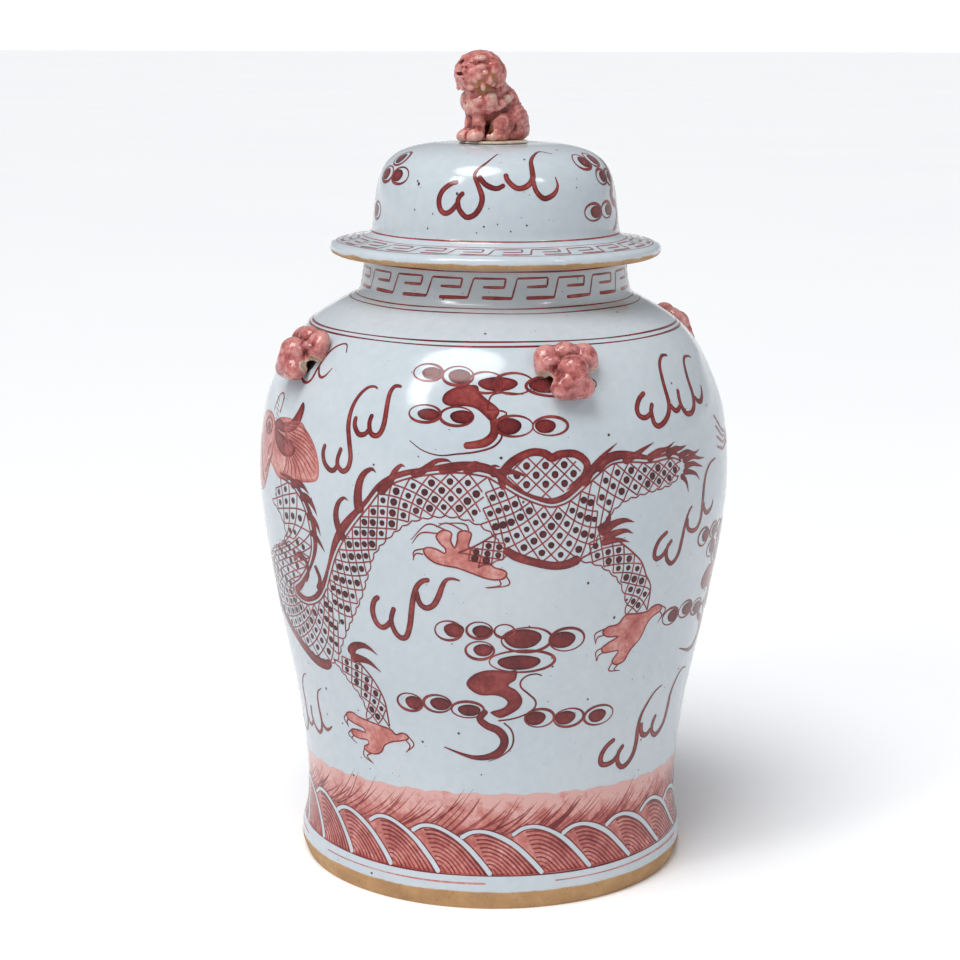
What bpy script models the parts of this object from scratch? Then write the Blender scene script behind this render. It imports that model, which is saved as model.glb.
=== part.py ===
"""A lidded ginger jar of glazed stoneware, as the separate clay pieces that it is made from.

A jar this size is thrown in sections that are luted rim to rim: a lower body, an upper body and a neck
collar. The lid is thrown with a wide flange that rests on the neck, and a locating ring luted under it
drops inside the neck. A press-moulded seated lion on a thin clay pad is the lid's knob, and four hollow
press-moulded lion masks stand round the shoulder.

Frame: metres, +Z up, origin at the centre of the foot's resting face. The front mask faces -Y. The masks
were set by hand, so they don't stand quite a quarter turn apart.
"""
import math

import bmesh
import bpy
from mathutils import Matrix, Vector

MM = 0.001
GAP = 0.3  # between faces that touch, the thickness of the slip that lutes them

# Driving dimensions in millimetres.
OVERALL_HEIGHT = 559.0
FOOT_RING_INNER = 117.0
FOOT_RING_RISE = 5.0
FLOOR_THICKNESS = 11.0
BODY_WALL = 7.5
BODY_SEAM = 212.0
NECK_SEAM = 394.0
NECK_INNER = 82.0
NECK_MOUTH = 422.0
LID_UNDERSIDE = NECK_MOUTH + GAP
LID_WALL = 6.5
LID_SEAT_INNER = 72.5  # where the lid's flat underside ends and its hollow begins
RING_OUTER = 79.5
RING_INNER = 74.0
RING_DEPTH = 16.0
PAD_THICKNESS = 1.6
PAD_LENGTH = 50.0
PAD_WIDTH = 46.0

# Outer outlines as (radius, height), bottom to top.
BODY_OUTLINE = [
    (131.8, 0.0), (135.0, 9.0), (134.4, 19.0), (131.6, 30.0), (130.4, 48.0), (131.6, 74.0), (137.2, 117.0),
    (147.4, 168.0), (155.4, 212.0), (159.6, 241.0), (162.0, 270.0), (160.7, 299.0), (156.8, 323.0),
    (149.4, 343.0), (139.6, 362.0), (126.0, 377.5), (110.0, 388.0), (98.4, 394.0),
]
NECK_OUTLINE = [
    (98.1, 394.3), (94.2, 396.8), (91.8, 402.0), (90.4, 411.0), (89.4, 418.5), (88.0, 421.2), (85.8, 422.0),
]
LID_OUTLINE = [
    (108.5, LID_UNDERSIDE), (111.8, 424.0), (113.0, 427.0), (111.8, 429.8), (108.6, 431.2), (97.0, 433.2),
    (88.0, 435.4), (85.0, 438.0), (83.8, 443.0), (82.9, 453.0), (81.4, 465.0), (78.8, 475.5), (74.6, 483.5),
    (67.8, 489.8), (58.5, 493.8), (46.0, 496.4), (34.0, 497.0),
]
LID_TOP = LID_OUTLINE[-1][1]
PAD_TOP = LID_TOP + GAP + PAD_THICKNESS
LION_HEIGHT = OVERALL_HEIGHT - PAD_TOP - GAP

SEGMENTS = 48  # round every turned piece
LUMP_SEGMENTS = 20
LUMP_RINGS = 12
PAD_SEGMENTS = 32

GLAZE = (0.60, 0.66, 0.71)
LION_GLAZE = (0.55, 0.20, 0.18)
PAD_GLAZE = (0.72, 0.66, 0.58)
BISCUIT = (0.48, 0.28, 0.12)
GLOSS = 0.15
MATT = 0.85

# Four lion masks. Each is ellipsoids as (centre, radii) in the mask's axes: across, up along the shoulder,
# and out from it. One off the middle plane stands for a pair.
# The azimuths are in degrees from -Y towards +X.
MASKS = {"mask_front": 0, "mask_right": 101, "mask_back": 180, "mask_left": -79}
MASK_RADIUS = 140.5
MASK_HEIGHT = 359.5
MASK_TILT = math.radians(30)
MASK_FACE = ((0, 3, -1), (19, 14.5, 11))
MASK_FOREHEAD = ((0, 13, 7), (8.5, 7, 7))
MASK_BROW = ((12.5, 10.5, 5.5), (8.5, 8.5, 7))
MASK_MUZZLE = ((0.5, -1.5, 12), (10, 9.5, 9))
MASK_JAW = ((0, -11, 7), (13.5, 8.5, 9))
MASK_LUMPS = (MASK_FACE, MASK_FOREHEAD, MASK_BROW, MASK_MUZZLE, MASK_JAW)
MASK_HOLLOW = ((0, -2, -2), (13.5, 12.5, 13))
MASK_MOUTH_CENTRE = (0, -4.0, 6.5)
MASK_MOUTH_SIZE = (60, 8.0, 8.0)
MASK_VOXEL = 1.6
MASK_FACETS_KEPT = 0.14

# The seated lion, as ellipsoids in its own axes: forward, to its left, and up from the pad.
FINIAL_PLACE = Vector((-2.6, -1.6, 0))  # set by hand, a little off the lid's middle
LION_FACING = math.radians(-63.5)  # azimuth from -Y, towards +X
LION_RUMP = ((-14.5, 0, 12.5), (12.8, 14.5, 13))
LION_THIGH = ((-6, 10.2, 11.5), (12.5, 7, 12))
LION_HIND_PAW = ((6, 9.8, 4), (10, 6.2, 5.2))
LION_BACK = ((-7, 0, 22), (13, 12.5, 15))
LION_NECK = ((4, 0, 35), (12, 12, 11))
LION_CHEST = ((14.5, 0, 23.5), (9.5, 10.5, 11.5))
LION_FRONT_LEG = ((17, 3.6, 11), (5.5, 4.6, 12))
LION_FRONT_PAW = ((21, 4.4, 3.8), (6.2, 5.6, 4.8))
LION_HEAD = ((12.5, 0, 45.0), (15.5, 16.6, LION_HEIGHT - 45.0))
LION_MUZZLE = ((23.5, 0, 45), (7, 11, 8.5))
LION_EAR = ((8, 12.5, 46), (5, 4.5, 7))
LION_TAIL = ((-19.5, 0, 19), (6, 5.5, 9.5))
LION_LUMPS = (
    LION_RUMP, LION_THIGH, LION_HIND_PAW, LION_BACK, LION_NECK, LION_CHEST, LION_FRONT_LEG,
    LION_FRONT_PAW, LION_HEAD, LION_MUZZLE, LION_EAR, LION_TAIL,
)
LION_VOXEL = 1.8
LION_FACETS_KEPT = 0.2


def radius_at(outline, height):
    """The radius of a rising outline at a height on it."""
    for (r0, z0), (r1, z1) in zip(outline, outline[1:]):
        if z0 <= height <= z1:
            return r0 + (r1 - r0) * (height - z0) / (z1 - z0)
    raise ValueError(f"the outline has no height {height}")


def stretch(outline, low, high):
    """The part of a rising outline between two heights, ended exactly at both."""
    between = [(r, z) for r, z in outline if low + 1.0 < z < high - 1.0]
    return [(radius_at(outline, low), low), *between, (radius_at(outline, high), high)]


def moved_in(outline, distance):
    """The outline moved inwards by a distance, square to itself. A negative distance moves it out."""
    moved = []
    for i, (radius, height) in enumerate(outline):
        r0, z0 = outline[max(i - 1, 0)]
        r1, z1 = outline[min(i + 1, len(outline) - 1)]
        length = math.hypot(r1 - r0, z1 - z0)
        moved.append((radius - distance * (z1 - z0) / length, height + distance * (r1 - r0) / length))
    return moved


def finish(name, colour, roughness):
    """One piece's own material."""
    made = bpy.data.materials.new(f"{name}_{'glaze' if roughness < 0.5 else 'biscuit'}")
    made.use_nodes = True
    shader = made.node_tree.nodes["Principled BSDF"]
    shader.inputs["Base Color"].default_value = (*colour, 1.0)
    shader.inputs["Roughness"].default_value = roughness
    shader.inputs["Metallic"].default_value = 0.0
    return made


def add_object(name, shape, material=None):
    """A named object from a bmesh, shaded smooth. With no material it is a cutter."""
    mesh = bpy.data.meshes.new(name)
    shape.to_mesh(mesh)
    shape.free()
    mesh.shade_smooth()
    mesh.set_sharp_from_angle(angle=math.radians(40))
    made = bpy.data.objects.new(name, mesh)
    bpy.context.scene.collection.objects.link(made)
    if material:
        mesh.materials.append(material)
    else:
        made.hide_render = True
        made.display_type = "WIRE"
    return made


def turned(name, section, material=None):
    """A solid of revolution from a section of (radius, height), which closes on itself or on the axis."""
    shape = bmesh.new()
    points = [shape.verts.new((r * MM, 0, z * MM)) for r, z in section]
    ends_on_axis = section[0][0] == section[-1][0] == 0
    following = points[1:] if ends_on_axis else points[1:] + points[:1]
    edges = [shape.edges.new(pair) for pair in zip(points, following)]
    bmesh.ops.spin(shape, geom=points + edges, cent=(0, 0, 0), axis=(0, 0, 1), angle=2 * math.pi,
                   steps=SEGMENTS, use_merge=True)
    bmesh.ops.remove_doubles(shape, verts=shape.verts, dist=1e-6)
    bmesh.ops.recalc_face_normals(shape, faces=shape.faces)
    return add_object(name, shape, material)


def ellipsoids(name, lumps, place, mirrored_axis, material=None):
    """Overlapping ellipsoids in local axes, which place turns into the frame's."""
    shape = bmesh.new()
    for centre, radii in lumps:
        for sign in (1, -1) if centre[mirrored_axis] else (1,):
            at = Vector(centre) * MM
            at[mirrored_axis] *= sign
            size = Matrix.Diagonal((*(r * MM for r in radii), 1.0))
            lump = bmesh.ops.create_uvsphere(
                shape, u_segments=LUMP_SEGMENTS, v_segments=LUMP_RINGS, radius=1.0)
            matrix = place @ Matrix.Translation(at) @ size
            bmesh.ops.transform(shape, matrix=matrix, verts=lump["verts"])
    return add_object(name, shape, material)


def box(name, centre, size, place):
    """A cutter box in local axes."""
    shape = bmesh.new()
    bmesh.ops.create_cube(shape, size=1.0)
    matrix = place @ Matrix.Translation(Vector(centre) * MM) @ Matrix.Diagonal((*(s * MM for s in size), 1.0))
    bmesh.ops.transform(shape, matrix=matrix, verts=shape.verts)
    return add_object(name, shape)


def fuse(piece, voxel, facets_kept):
    """Joins a piece's overlapping lumps into one skin, and thins its facets."""
    remesh = piece.modifiers.new("Fuse", "REMESH")
    remesh.mode = "VOXEL"
    remesh.voxel_size = voxel * MM
    thin = piece.modifiers.new("Thin", "DECIMATE")
    thin.ratio = facets_kept


def cut(piece, cutter):
    made = piece.modifiers.new(f"Cut {cutter.name}", "BOOLEAN")
    made.operation = "DIFFERENCE"
    made.solver = "EXACT"
    made.object = cutter


def make_body():
    """The two thrown sections of the body, luted near mid-height, and the neck collar luted on top."""
    inner_floor = FOOT_RING_RISE + FLOOR_THICKNESS
    lower = stretch(BODY_OUTLINE, 0.0, BODY_SEAM - GAP / 2)
    wall = [(r, z) for r, z in moved_in(lower, BODY_WALL) if inner_floor + 6.0 < z < BODY_SEAM - 6.0]
    rim = (lower[-1][0] - BODY_WALL, lower[-1][1])
    foot = [(0, FOOT_RING_RISE), (FOOT_RING_INNER - 2.0, FOOT_RING_RISE), (FOOT_RING_INNER, 0.0)]
    floor = [(wall[0][0] - 6.0, inner_floor), (0, inner_floor)]
    turned("lower_body", foot + lower + [rim] + wall[::-1] + floor, finish("lower_body", GLAZE, GLOSS))

    upper = stretch(BODY_OUTLINE, BODY_SEAM + GAP / 2, NECK_SEAM)
    wall = [(r, z) for r, z in moved_in(upper, BODY_WALL) if BODY_SEAM + 6.0 < z and r > NECK_INNER + 8.0]
    rim = (upper[0][0] - BODY_WALL, upper[0][1])
    shoulder = [(NECK_INNER + 3.0, NECK_SEAM - 5.0), (NECK_INNER + 1.0, NECK_SEAM)]
    turned("upper_body", upper + shoulder[::-1] + wall[::-1] + [rim], finish("upper_body", GLAZE, GLOSS))

    rim = [(NECK_INNER + 1.5, NECK_MOUTH), (NECK_INNER, NECK_MOUTH - 1.5)]
    bore_foot = (NECK_INNER + 1.0, NECK_SEAM + GAP)
    turned("neck_collar", NECK_OUTLINE + rim + [bore_foot], finish("neck_collar", GLAZE, GLOSS))


def make_lid():
    """The thrown dome with its flange, and the unglazed ring that locates it in the neck."""
    hollow_foot = LID_UNDERSIDE + 2 * LID_WALL
    widest = LID_SEAT_INNER + 6.0
    dome = [(r, z) for r, z in moved_in(LID_OUTLINE, LID_WALL) if z > hollow_foot and r < widest]
    inner = [(0, LID_TOP - LID_WALL), *dome[:0:-2], (LID_SEAT_INNER, LID_UNDERSIDE)]
    turned("lid", inner + LID_OUTLINE + [(0, LID_TOP)], finish("lid", GLAZE, GLOSS))
    top = LID_UNDERSIDE - GAP
    bottom = top - RING_DEPTH
    ring = [(RING_OUTER, top), (RING_INNER, top), (RING_INNER, bottom), (RING_OUTER - 1.0, bottom)]
    turned("lid_locating_ring", ring, finish("lid_locating_ring", BISCUIT, MATT))


def make_masks():
    """Four hollow masks round the shoulder, with a passage right through the corners of each mouth."""
    clear = moved_in(stretch(BODY_OUTLINE, MASK_HEIGHT - 50.0, NECK_SEAM), -GAP)
    shoulder = turned("shoulder_cutter", [(0, clear[0][1]), *clear, (0, clear[-1][1])])
    for name, azimuth in MASKS.items():
        turn = math.radians(azimuth)
        away = Vector((math.sin(turn), -math.cos(turn), 0))
        across = Vector((math.cos(turn), math.sin(turn), 0))
        up = Vector((0, 0, math.cos(MASK_TILT))) - away * math.sin(MASK_TILT)
        out = Vector((0, 0, math.sin(MASK_TILT))) + away * math.cos(MASK_TILT)
        place = Matrix((across, up, out)).transposed().to_4x4()
        place.translation = (away * MASK_RADIUS + Vector((0, 0, MASK_HEIGHT))) * MM
        mask = ellipsoids(name, MASK_LUMPS, place, 0, finish(name, LION_GLAZE, GLOSS))
        fuse(mask, MASK_VOXEL, MASK_FACETS_KEPT)
        cut(mask, ellipsoids(f"{name}_hollow_cutter", [MASK_HOLLOW], place, 0))
        cut(mask, box(f"{name}_mouth_cutter", MASK_MOUTH_CENTRE, MASK_MOUTH_SIZE, place))
        cut(mask, shoulder)


def make_finial():
    """The seated lion on its thin pad, the knob that the lid is lifted by."""
    ahead = Vector((math.sin(LION_FACING), -math.cos(LION_FACING), 0))
    left = Vector((math.cos(LION_FACING), math.sin(LION_FACING), 0))
    place = Matrix((ahead, left, Vector((0, 0, 1)))).transposed().to_4x4()
    place.translation = (FINIAL_PLACE + Vector((0, 0, PAD_TOP - PAD_THICKNESS / 2))) * MM
    shape = bmesh.new()
    bmesh.ops.create_cone(shape, cap_ends=True, segments=PAD_SEGMENTS, radius1=0.5, radius2=0.5, depth=1.0)
    size = Matrix.Diagonal((PAD_LENGTH * MM, PAD_WIDTH * MM, PAD_THICKNESS * MM, 1.0))
    bmesh.ops.transform(shape, matrix=place @ size, verts=shape.verts)
    add_object("finial_pad", shape, finish("finial_pad", PAD_GLAZE, GLOSS))

    place.translation = (FINIAL_PLACE + Vector((0, 0, PAD_TOP + GAP))) * MM
    lion = ellipsoids("finial_lion", LION_LUMPS, place, 1, finish("finial_lion", LION_GLAZE, GLOSS))
    fuse(lion, LION_VOXEL, LION_FACETS_KEPT)
    cut(lion, box("pad_cutter", (0, 0, -20), (100, 100, 40), place))


def main():
    for found in list(bpy.data.objects):
        bpy.data.objects.remove(found)
    make_body()
    make_lid()
    make_masks()
    make_finial()


main()
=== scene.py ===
import math
import random

import bpy
import numpy as np
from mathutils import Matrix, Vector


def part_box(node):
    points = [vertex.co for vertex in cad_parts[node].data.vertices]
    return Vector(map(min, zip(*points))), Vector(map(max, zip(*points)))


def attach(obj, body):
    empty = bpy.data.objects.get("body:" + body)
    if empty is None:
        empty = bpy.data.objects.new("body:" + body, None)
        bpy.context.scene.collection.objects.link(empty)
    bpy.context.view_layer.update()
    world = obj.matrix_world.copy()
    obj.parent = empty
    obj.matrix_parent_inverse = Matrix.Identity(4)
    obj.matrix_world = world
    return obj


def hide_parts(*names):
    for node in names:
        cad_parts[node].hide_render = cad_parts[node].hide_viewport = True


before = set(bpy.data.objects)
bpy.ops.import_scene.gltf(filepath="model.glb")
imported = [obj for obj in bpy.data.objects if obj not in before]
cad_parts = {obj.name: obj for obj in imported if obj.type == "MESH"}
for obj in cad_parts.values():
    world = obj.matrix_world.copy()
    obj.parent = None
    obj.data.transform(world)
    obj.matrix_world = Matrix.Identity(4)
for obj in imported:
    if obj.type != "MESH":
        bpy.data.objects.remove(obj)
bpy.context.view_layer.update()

import openvdb
from mathutils import Matrix, Vector
from mathutils.geometry import delaunay_2d_cdt

MM = 0.001
JAR = "jar"
LID = "lid"

# Outer outlines in millimetres, as part.py has them: (radius, height), bottom to top.
BODY_OUTLINE = [
    (131.8, 0.0), (135.0, 9.0), (134.4, 19.0), (131.6, 30.0), (130.4, 48.0), (131.6, 74.0), (137.2, 117.0),
    (147.4, 168.0), (155.4, 212.0), (159.6, 241.0), (162.0, 270.0), (160.7, 299.0), (156.8, 323.0),
    (149.4, 343.0), (139.6, 362.0), (126.0, 377.5), (110.0, 388.0), (98.6, 394.0),
]
NECK_OUTLINE = [(94.2, 396.8), (91.8, 402.0), (90.4, 411.0), (89.4, 418.5), (88.0, 421.2), (85.8, 422.0)]
LID_OUTLINE = [
    (108.5, 422.3), (111.8, 424.0), (113.0, 427.0), (111.8, 429.8), (108.6, 431.2), (97.0, 433.2),
    (88.0, 435.4), (85.0, 438.0), (83.8, 443.0), (82.9, 453.0), (81.4, 465.0), (78.8, 475.5), (74.6, 483.5),
    (67.8, 489.8), (58.5, 493.8), (46.0, 496.4), (34.0, 497.0),
]
BODY_INSIDE = [
    (83.5, 422.0), (82.0, 420.5), (82.0, 398.0), (88.0, 389.0), (104.0, 381.0), (121.0, 371.5),
    (133.5, 357.5), (142.5, 340.0), (149.5, 321.0), (153.4, 298.0), (154.5, 270.0), (152.2, 241.0),
    (147.9, 212.0), (140.0, 168.0), (129.8, 117.0), (124.1, 74.0), (122.9, 48.0), (123.6, 28.0),
    (119.0, 18.0), (110.0, 16.0), (0.0, 16.0),
]
FOOT_HOLLOW = 5.0
FOOT_RING = [(114.5, FOOT_HOLLOW), (116.2, 4.4), (117.0, 0.8)]
FOOT_REST = [(117.0, 0.8), (118.2, 0.0), (124.0, 0.0), (131.8, 0.0)]
INNER_FLOOR = 16.0
LID_INSIDE = [
    (0.0, 490.5), (34.0, 490.5), (46.0, 489.9), (57.0, 487.4), (64.0, 484.0), (69.3, 479.5), (72.6, 473.3),
    (75.0, 464.0), (76.4, 452.5), (76.6, 441.0), (74.0, 428.0), (72.5, 423.5), (73.5, 422.3), (90.0, 422.3),
]
SEGMENTS = 240
BODY_SEAM = 212.0
NECK_SEAM = 394.0
NECK_MOUTH = 422.0
RING_OUTER = 79.5
RING_INNER = 74.0
LION_FACING = -63.5
MASK_RADIUS = 140.5
MASK_HEIGHT = 359.5
MASK_TILT = 30.0
PAD_HALF_LENGTH = 25.0
PAD_HALF_WIDTH = 23.0
LIGHT_HEIGHT = 0.28  # the middle of the jar, which the lights point at, in metres
HORIZON = (1.05, 1.05, 1.05)
DOME = (0.34, 0.35, 0.365)  # the sky above the horizon
CAMERA_AZIMUTH = -18.7
CAMERA_AWAY = 1.505
CAMERA_HEIGHT = 0.5777
CAMERA_PITCH = 11.79
CAMERA_YAW = 0.36
CAMERA_ROLL = 0.39
CAMERA_LENS = 82.5
PAINT_LIFT = 0.10  # how far a brush stroke stands above the glaze, in mm
PERIOD = 180.0  # the painting repeats on the jar's other side
DEGREE = math.radians(1.0) * 155.0  # one degree in mm, where the dragon lies
HUMP_DEGREE = 2.7  # the same for the hump of its back
NET_PITCH = 7.8  # between the lines of the hump's net, in mm


# ---------------------------------------------------------------- curves and surfaces

def spans(ends, spacing):
    """Points along a Catmull-Rom curve from the second row to the last but one, spaced by their first two
    numbers."""
    found = []
    for a, b, c, d in zip(ends, ends[1:], ends[2:], ends[3:]):
        steps = max(1, int(math.ceil(math.hypot(*(c - b)[:2]) / spacing)))
        for t in np.arange(steps) / steps:
            found.append(0.5 * (2 * b + (c - a) * t + (2 * a - 5 * b + 4 * c - d) * t ** 2
                                + (3 * b - a - 3 * c + d) * t ** 3))
    return found


def catmull(points, spacing):
    """A smooth curve through rows of numbers, from the first to the last."""
    rows = np.asarray(points, float)
    ends = np.vstack([2 * rows[0] - rows[1], rows, 2 * rows[-1] - rows[-2]])
    return np.array(spans(ends, spacing) + [rows[-1]])


def loop_curve(points, spacing):
    """The same round a closed outline, with no point given twice."""
    rows = np.asarray(points, float)
    return np.array(spans(np.vstack([rows[-1], rows, rows[:2]]), spacing))


def distance_along(points):
    """How far each row lies along a line of (across, up) rows."""
    return np.concatenate([[0], np.cumsum(np.hypot(*np.diff(points[:, :2], axis=0).T))])


class Wall:
    """A turned surface. A point on it is (azimuth in degrees from -Y towards +X, distance up the outline)."""

    def __init__(self, outline):
        self.rz = catmull(outline, 1.0)
        self.s = distance_along(self.rz)
        slope = np.gradient(self.rz, self.s, axis=0)
        slope /= np.linalg.norm(slope, axis=1)[:, None]
        self.normal = np.stack([slope[:, 1], -slope[:, 0]], 1)

    def at_height(self, z):
        return np.interp(z, self.rz[:, 1], self.s)

    def radius(self, s):
        return np.interp(s, self.s, self.rz[:, 0])

    def place(self, azimuth, s, lift=0.0):
        """World points in metres, a lift in mm above the surface."""
        azimuth = np.radians(np.asarray(azimuth, float))
        s = np.asarray(s, float)
        r = np.interp(s, self.s, self.rz[:, 0]) + lift * np.interp(s, self.s, self.normal[:, 0])
        z = np.interp(s, self.s, self.rz[:, 1]) + lift * np.interp(s, self.s, self.normal[:, 1])
        return np.stack([r * np.sin(azimuth), -r * np.cos(azimuth), z], -1) * MM


BODY_WALL = Wall(BODY_OUTLINE + NECK_OUTLINE)
LID_WALL = Wall(LID_OUTLINE[4:])


# ---------------------------------------------------------------- objects

def add_mesh(name, verts, faces, material, body, sharp=35.0):
    mesh = bpy.data.meshes.new(name)
    mesh.from_pydata([tuple(v) for v in verts], [], [tuple(int(i) for i in f) for f in faces])
    mesh.validate()
    mesh.shade_smooth()
    mesh.set_sharp_from_angle(angle=math.radians(sharp))
    mesh.materials.append(material)
    made = bpy.data.objects.new(name, mesh)
    bpy.context.scene.collection.objects.link(made)
    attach(made, body)
    return made


def section(*parts):
    """A closed section from stretches of (spacing, points), each smooth, with a corner where two meet."""
    rows = []
    for spacing, points in parts:
        for row in catmull(points, spacing):
            if not rows or math.dist(rows[-1], row) > 0.01:
                rows.append((max(float(row[0]), 0.0), float(row[1])))
    if math.dist(rows[0], rows[-1]) < 0.01:
        rows.pop()
    return rows


def turned(name, rows, segments, material, body):
    """A closed turned piece from a section of (radius, height) in mm, which may start and end on the axis."""
    on_axis = rows[0][0] == 0 and rows[-1][0] == 0
    rings = rows[1:-1] if on_axis else rows
    angles = [k * 2 * math.pi / segments for k in range(segments)]
    verts = [(r * math.cos(a) * MM, r * math.sin(a) * MM, z * MM) for r, z in rings for a in angles]
    faces = []
    count = len(rings)
    for i in range(count - 1 if on_axis else count):
        j = (i + 1) % count
        for k in range(segments):
            n = (k + 1) % segments
            faces.append((i * segments + k, i * segments + n, j * segments + n, j * segments + k))
    if on_axis:
        first = len(verts)
        last = first + 1
        verts += [(0, 0, rows[0][1] * MM), (0, 0, rows[-1][1] * MM)]
        top = (count - 1) * segments
        for k in range(segments):
            n = (k + 1) % segments
            faces.append((first, n, k))
            faces.append((last, top + k, top + n))
    return add_mesh(name, verts, faces, material, body)


def between(points, low, high):
    """The rows of an outline from one height to another, with a row put in at both heights."""
    rows = catmull(points, 1.0)
    ends = [(float(np.interp(z, *rows[rows[:, 1].argsort()].T[::-1])), z) for z in (low, high)]
    kept = [tuple(row) for row in rows if low + 0.2 < row[1] < high - 0.2]
    return [ends[0], *kept, ends[1]]


# ---------------------------------------------------------------- materials

class Nodes:
    """Short calls for one material's nodes."""

    def __init__(self, name):
        self.material = bpy.data.materials.new(name)
        self.material.use_nodes = True
        self.tree = self.material.node_tree
        self.shader = self.tree.nodes["Principled BSDF"]
        self.where = self.tree.nodes.new("ShaderNodeTexCoord").outputs["Object"]

    def link(self, source, target):
        self.tree.links.new(source, target)

    def put(self, socket, value):
        if isinstance(value, bpy.types.NodeSocket):
            self.link(value, socket)
        elif isinstance(value, tuple) and len(value) == 3 and socket.type == "RGBA":
            socket.default_value = (*value, 1.0)
        else:
            socket.default_value = value

    def noise(self, scale, detail=4.0, roughness=0.55, where=None, distortion=0.0):
        node = self.tree.nodes.new("ShaderNodeTexNoise")
        self.link(where or self.where, node.inputs["Vector"])
        node.inputs["Scale"].default_value = scale
        node.inputs["Detail"].default_value = detail
        node.inputs["Roughness"].default_value = roughness
        node.inputs["Distortion"].default_value = distortion
        return node.outputs["Fac"]

    def stretch(self, x, y, z):
        node = self.tree.nodes.new("ShaderNodeMapping")
        self.link(self.where, node.inputs["Vector"])
        node.inputs["Scale"].default_value = (x, y, z)
        return node.outputs["Vector"]

    def ramp(self, fac, *stops):
        """Colours or greys at positions from 0 to 1."""
        node = self.tree.nodes.new("ShaderNodeValToRGB")
        self.link(fac, node.inputs["Fac"])
        elements = node.color_ramp.elements
        while len(elements) < len(stops):
            elements.new(0.5)
        for element, (position, colour) in zip(elements, sorted(stops)):
            element.position = position
            grey = not isinstance(colour, tuple)
            element.color = (colour, colour, colour, 1.0) if grey else (*colour, 1.0)
        return node.outputs["Color"]

    def mix(self, fac, a, b, blend="MIX"):
        node = self.tree.nodes.new("ShaderNodeMix")
        node.data_type = "RGBA"
        node.blend_type = blend
        node.clamp_factor = True
        self.put(node.inputs[0], fac)
        self.put(node.inputs[6], a)
        self.put(node.inputs[7], b)
        return node.outputs[2]

    def math(self, operation, a, b=0.0, c=0.0):
        node = self.tree.nodes.new("ShaderNodeMath")
        node.operation = operation
        node.use_clamp = False
        for socket, value in zip(node.inputs, (a, b, c)):
            self.put(socket, value)
        return node.outputs[0]

    def attribute(self, name):
        node = self.tree.nodes.new("ShaderNodeAttribute")
        node.attribute_name = name
        return node.outputs["Fac"]

    def height(self):
        node = self.tree.nodes.new("ShaderNodeSeparateXYZ")
        self.link(self.where, node.inputs[0])
        return node.outputs["Z"]

    def bump(self, value, strength, distance):
        node = self.tree.nodes.new("ShaderNodeBump")
        self.link(value, node.inputs["Height"])
        node.inputs["Strength"].default_value = strength
        node.inputs["Distance"].default_value = distance
        self.link(node.outputs["Normal"], self.shader.inputs["Normal"])

    def finish(self, colour, roughness, specular=0.5):
        self.put(self.shader.inputs["Base Color"], colour)
        self.put(self.shader.inputs["Roughness"], roughness)
        self.shader.inputs["Metallic"].default_value = 0.0
        self.shader.inputs["Specular IOR Level"].default_value = specular
        return self.material


def srgb(red, green, blue):
    """A colour given in display values of 0 to 255."""
    def linear(value):
        value /= 255.0
        return value / 12.92 if value <= 0.04045 else ((value + 0.055) / 1.055) ** 2.4
    return (linear(red), linear(green), linear(blue))


def glaze_colour(n):
    """Pale blue-grey glaze, clouded at two scales, with faint ochre stains where iron bleeds through."""
    cloud = n.ramp(n.noise(9.0, 3.0), (0.30, srgb(179, 189, 196)), (0.70, srgb(190, 197, 202)))
    fine = n.ramp(n.noise(160.0, 5.0), (0.35, srgb(172, 182, 189)), (0.65, srgb(196, 202, 206)))
    both = n.mix(0.22, cloud, fine)
    stain = n.ramp(n.noise(26.0, 6.0, 0.7), (0.62, 0.0), (0.80, 0.35))
    return n.mix(stain, both, srgb(190, 181, 158))


def glaze(name, biscuit_below=None, biscuit_noise=0.0015):
    """The jar's glaze. Below a height the clay is bare and toasted."""
    n = Nodes(name)
    colour = glaze_colour(n)
    rough = n.ramp(n.noise(60.0, 3.0), (0.3, 0.10), (0.7, 0.17))
    if biscuit_below is not None:
        wobble = n.math("MULTIPLY_ADD", n.noise(55.0, 5.0, 0.65), 2 * biscuit_noise, -biscuit_noise)
        edge = n.math("ADD", n.height(), wobble)
        below = n.math("MULTIPLY_ADD", edge, -1200.0, 1200.0 * biscuit_below + 0.5)
        bare = n.ramp(below, (0.0, 0.0), (1.0, 1.0))
        clay = biscuit_colour(n)
        colour = n.mix(bare, colour, clay)
        rough = n.mix(bare, rough, (0.72, 0.72, 0.72))
    pores = n.noise(420.0, 3.0, 0.6)
    throwing = n.noise(1.0, 3.0, 0.5, where=n.stretch(4.0, 4.0, 75.0))
    n.bump(n.math("ADD", n.math("MULTIPLY", pores, 0.12), throwing), 0.10, 0.0012)
    return n.finish(colour, rough)


def biscuit_colour(n):
    """Toasted stoneware, tan with darker iron and pale grit."""
    base = n.ramp(n.noise(38.0, 6.0, 0.7), (0.30, srgb(138, 100, 60)), (0.52, srgb(166, 127, 83)),
                  (0.72, srgb(190, 157, 114)))
    grit = n.ramp(n.noise(520.0, 3.0, 0.6), (0.30, srgb(120, 80, 48)), (0.42, srgb(190, 150, 105)))
    return n.mix(0.35, base, grit)


def biscuit(name):
    n = Nodes(name)
    colour = biscuit_colour(n)
    n.bump(n.noise(650.0, 4.0, 0.6), 0.35, 0.0006)
    return n.finish(colour, 0.78, 0.3)


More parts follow.
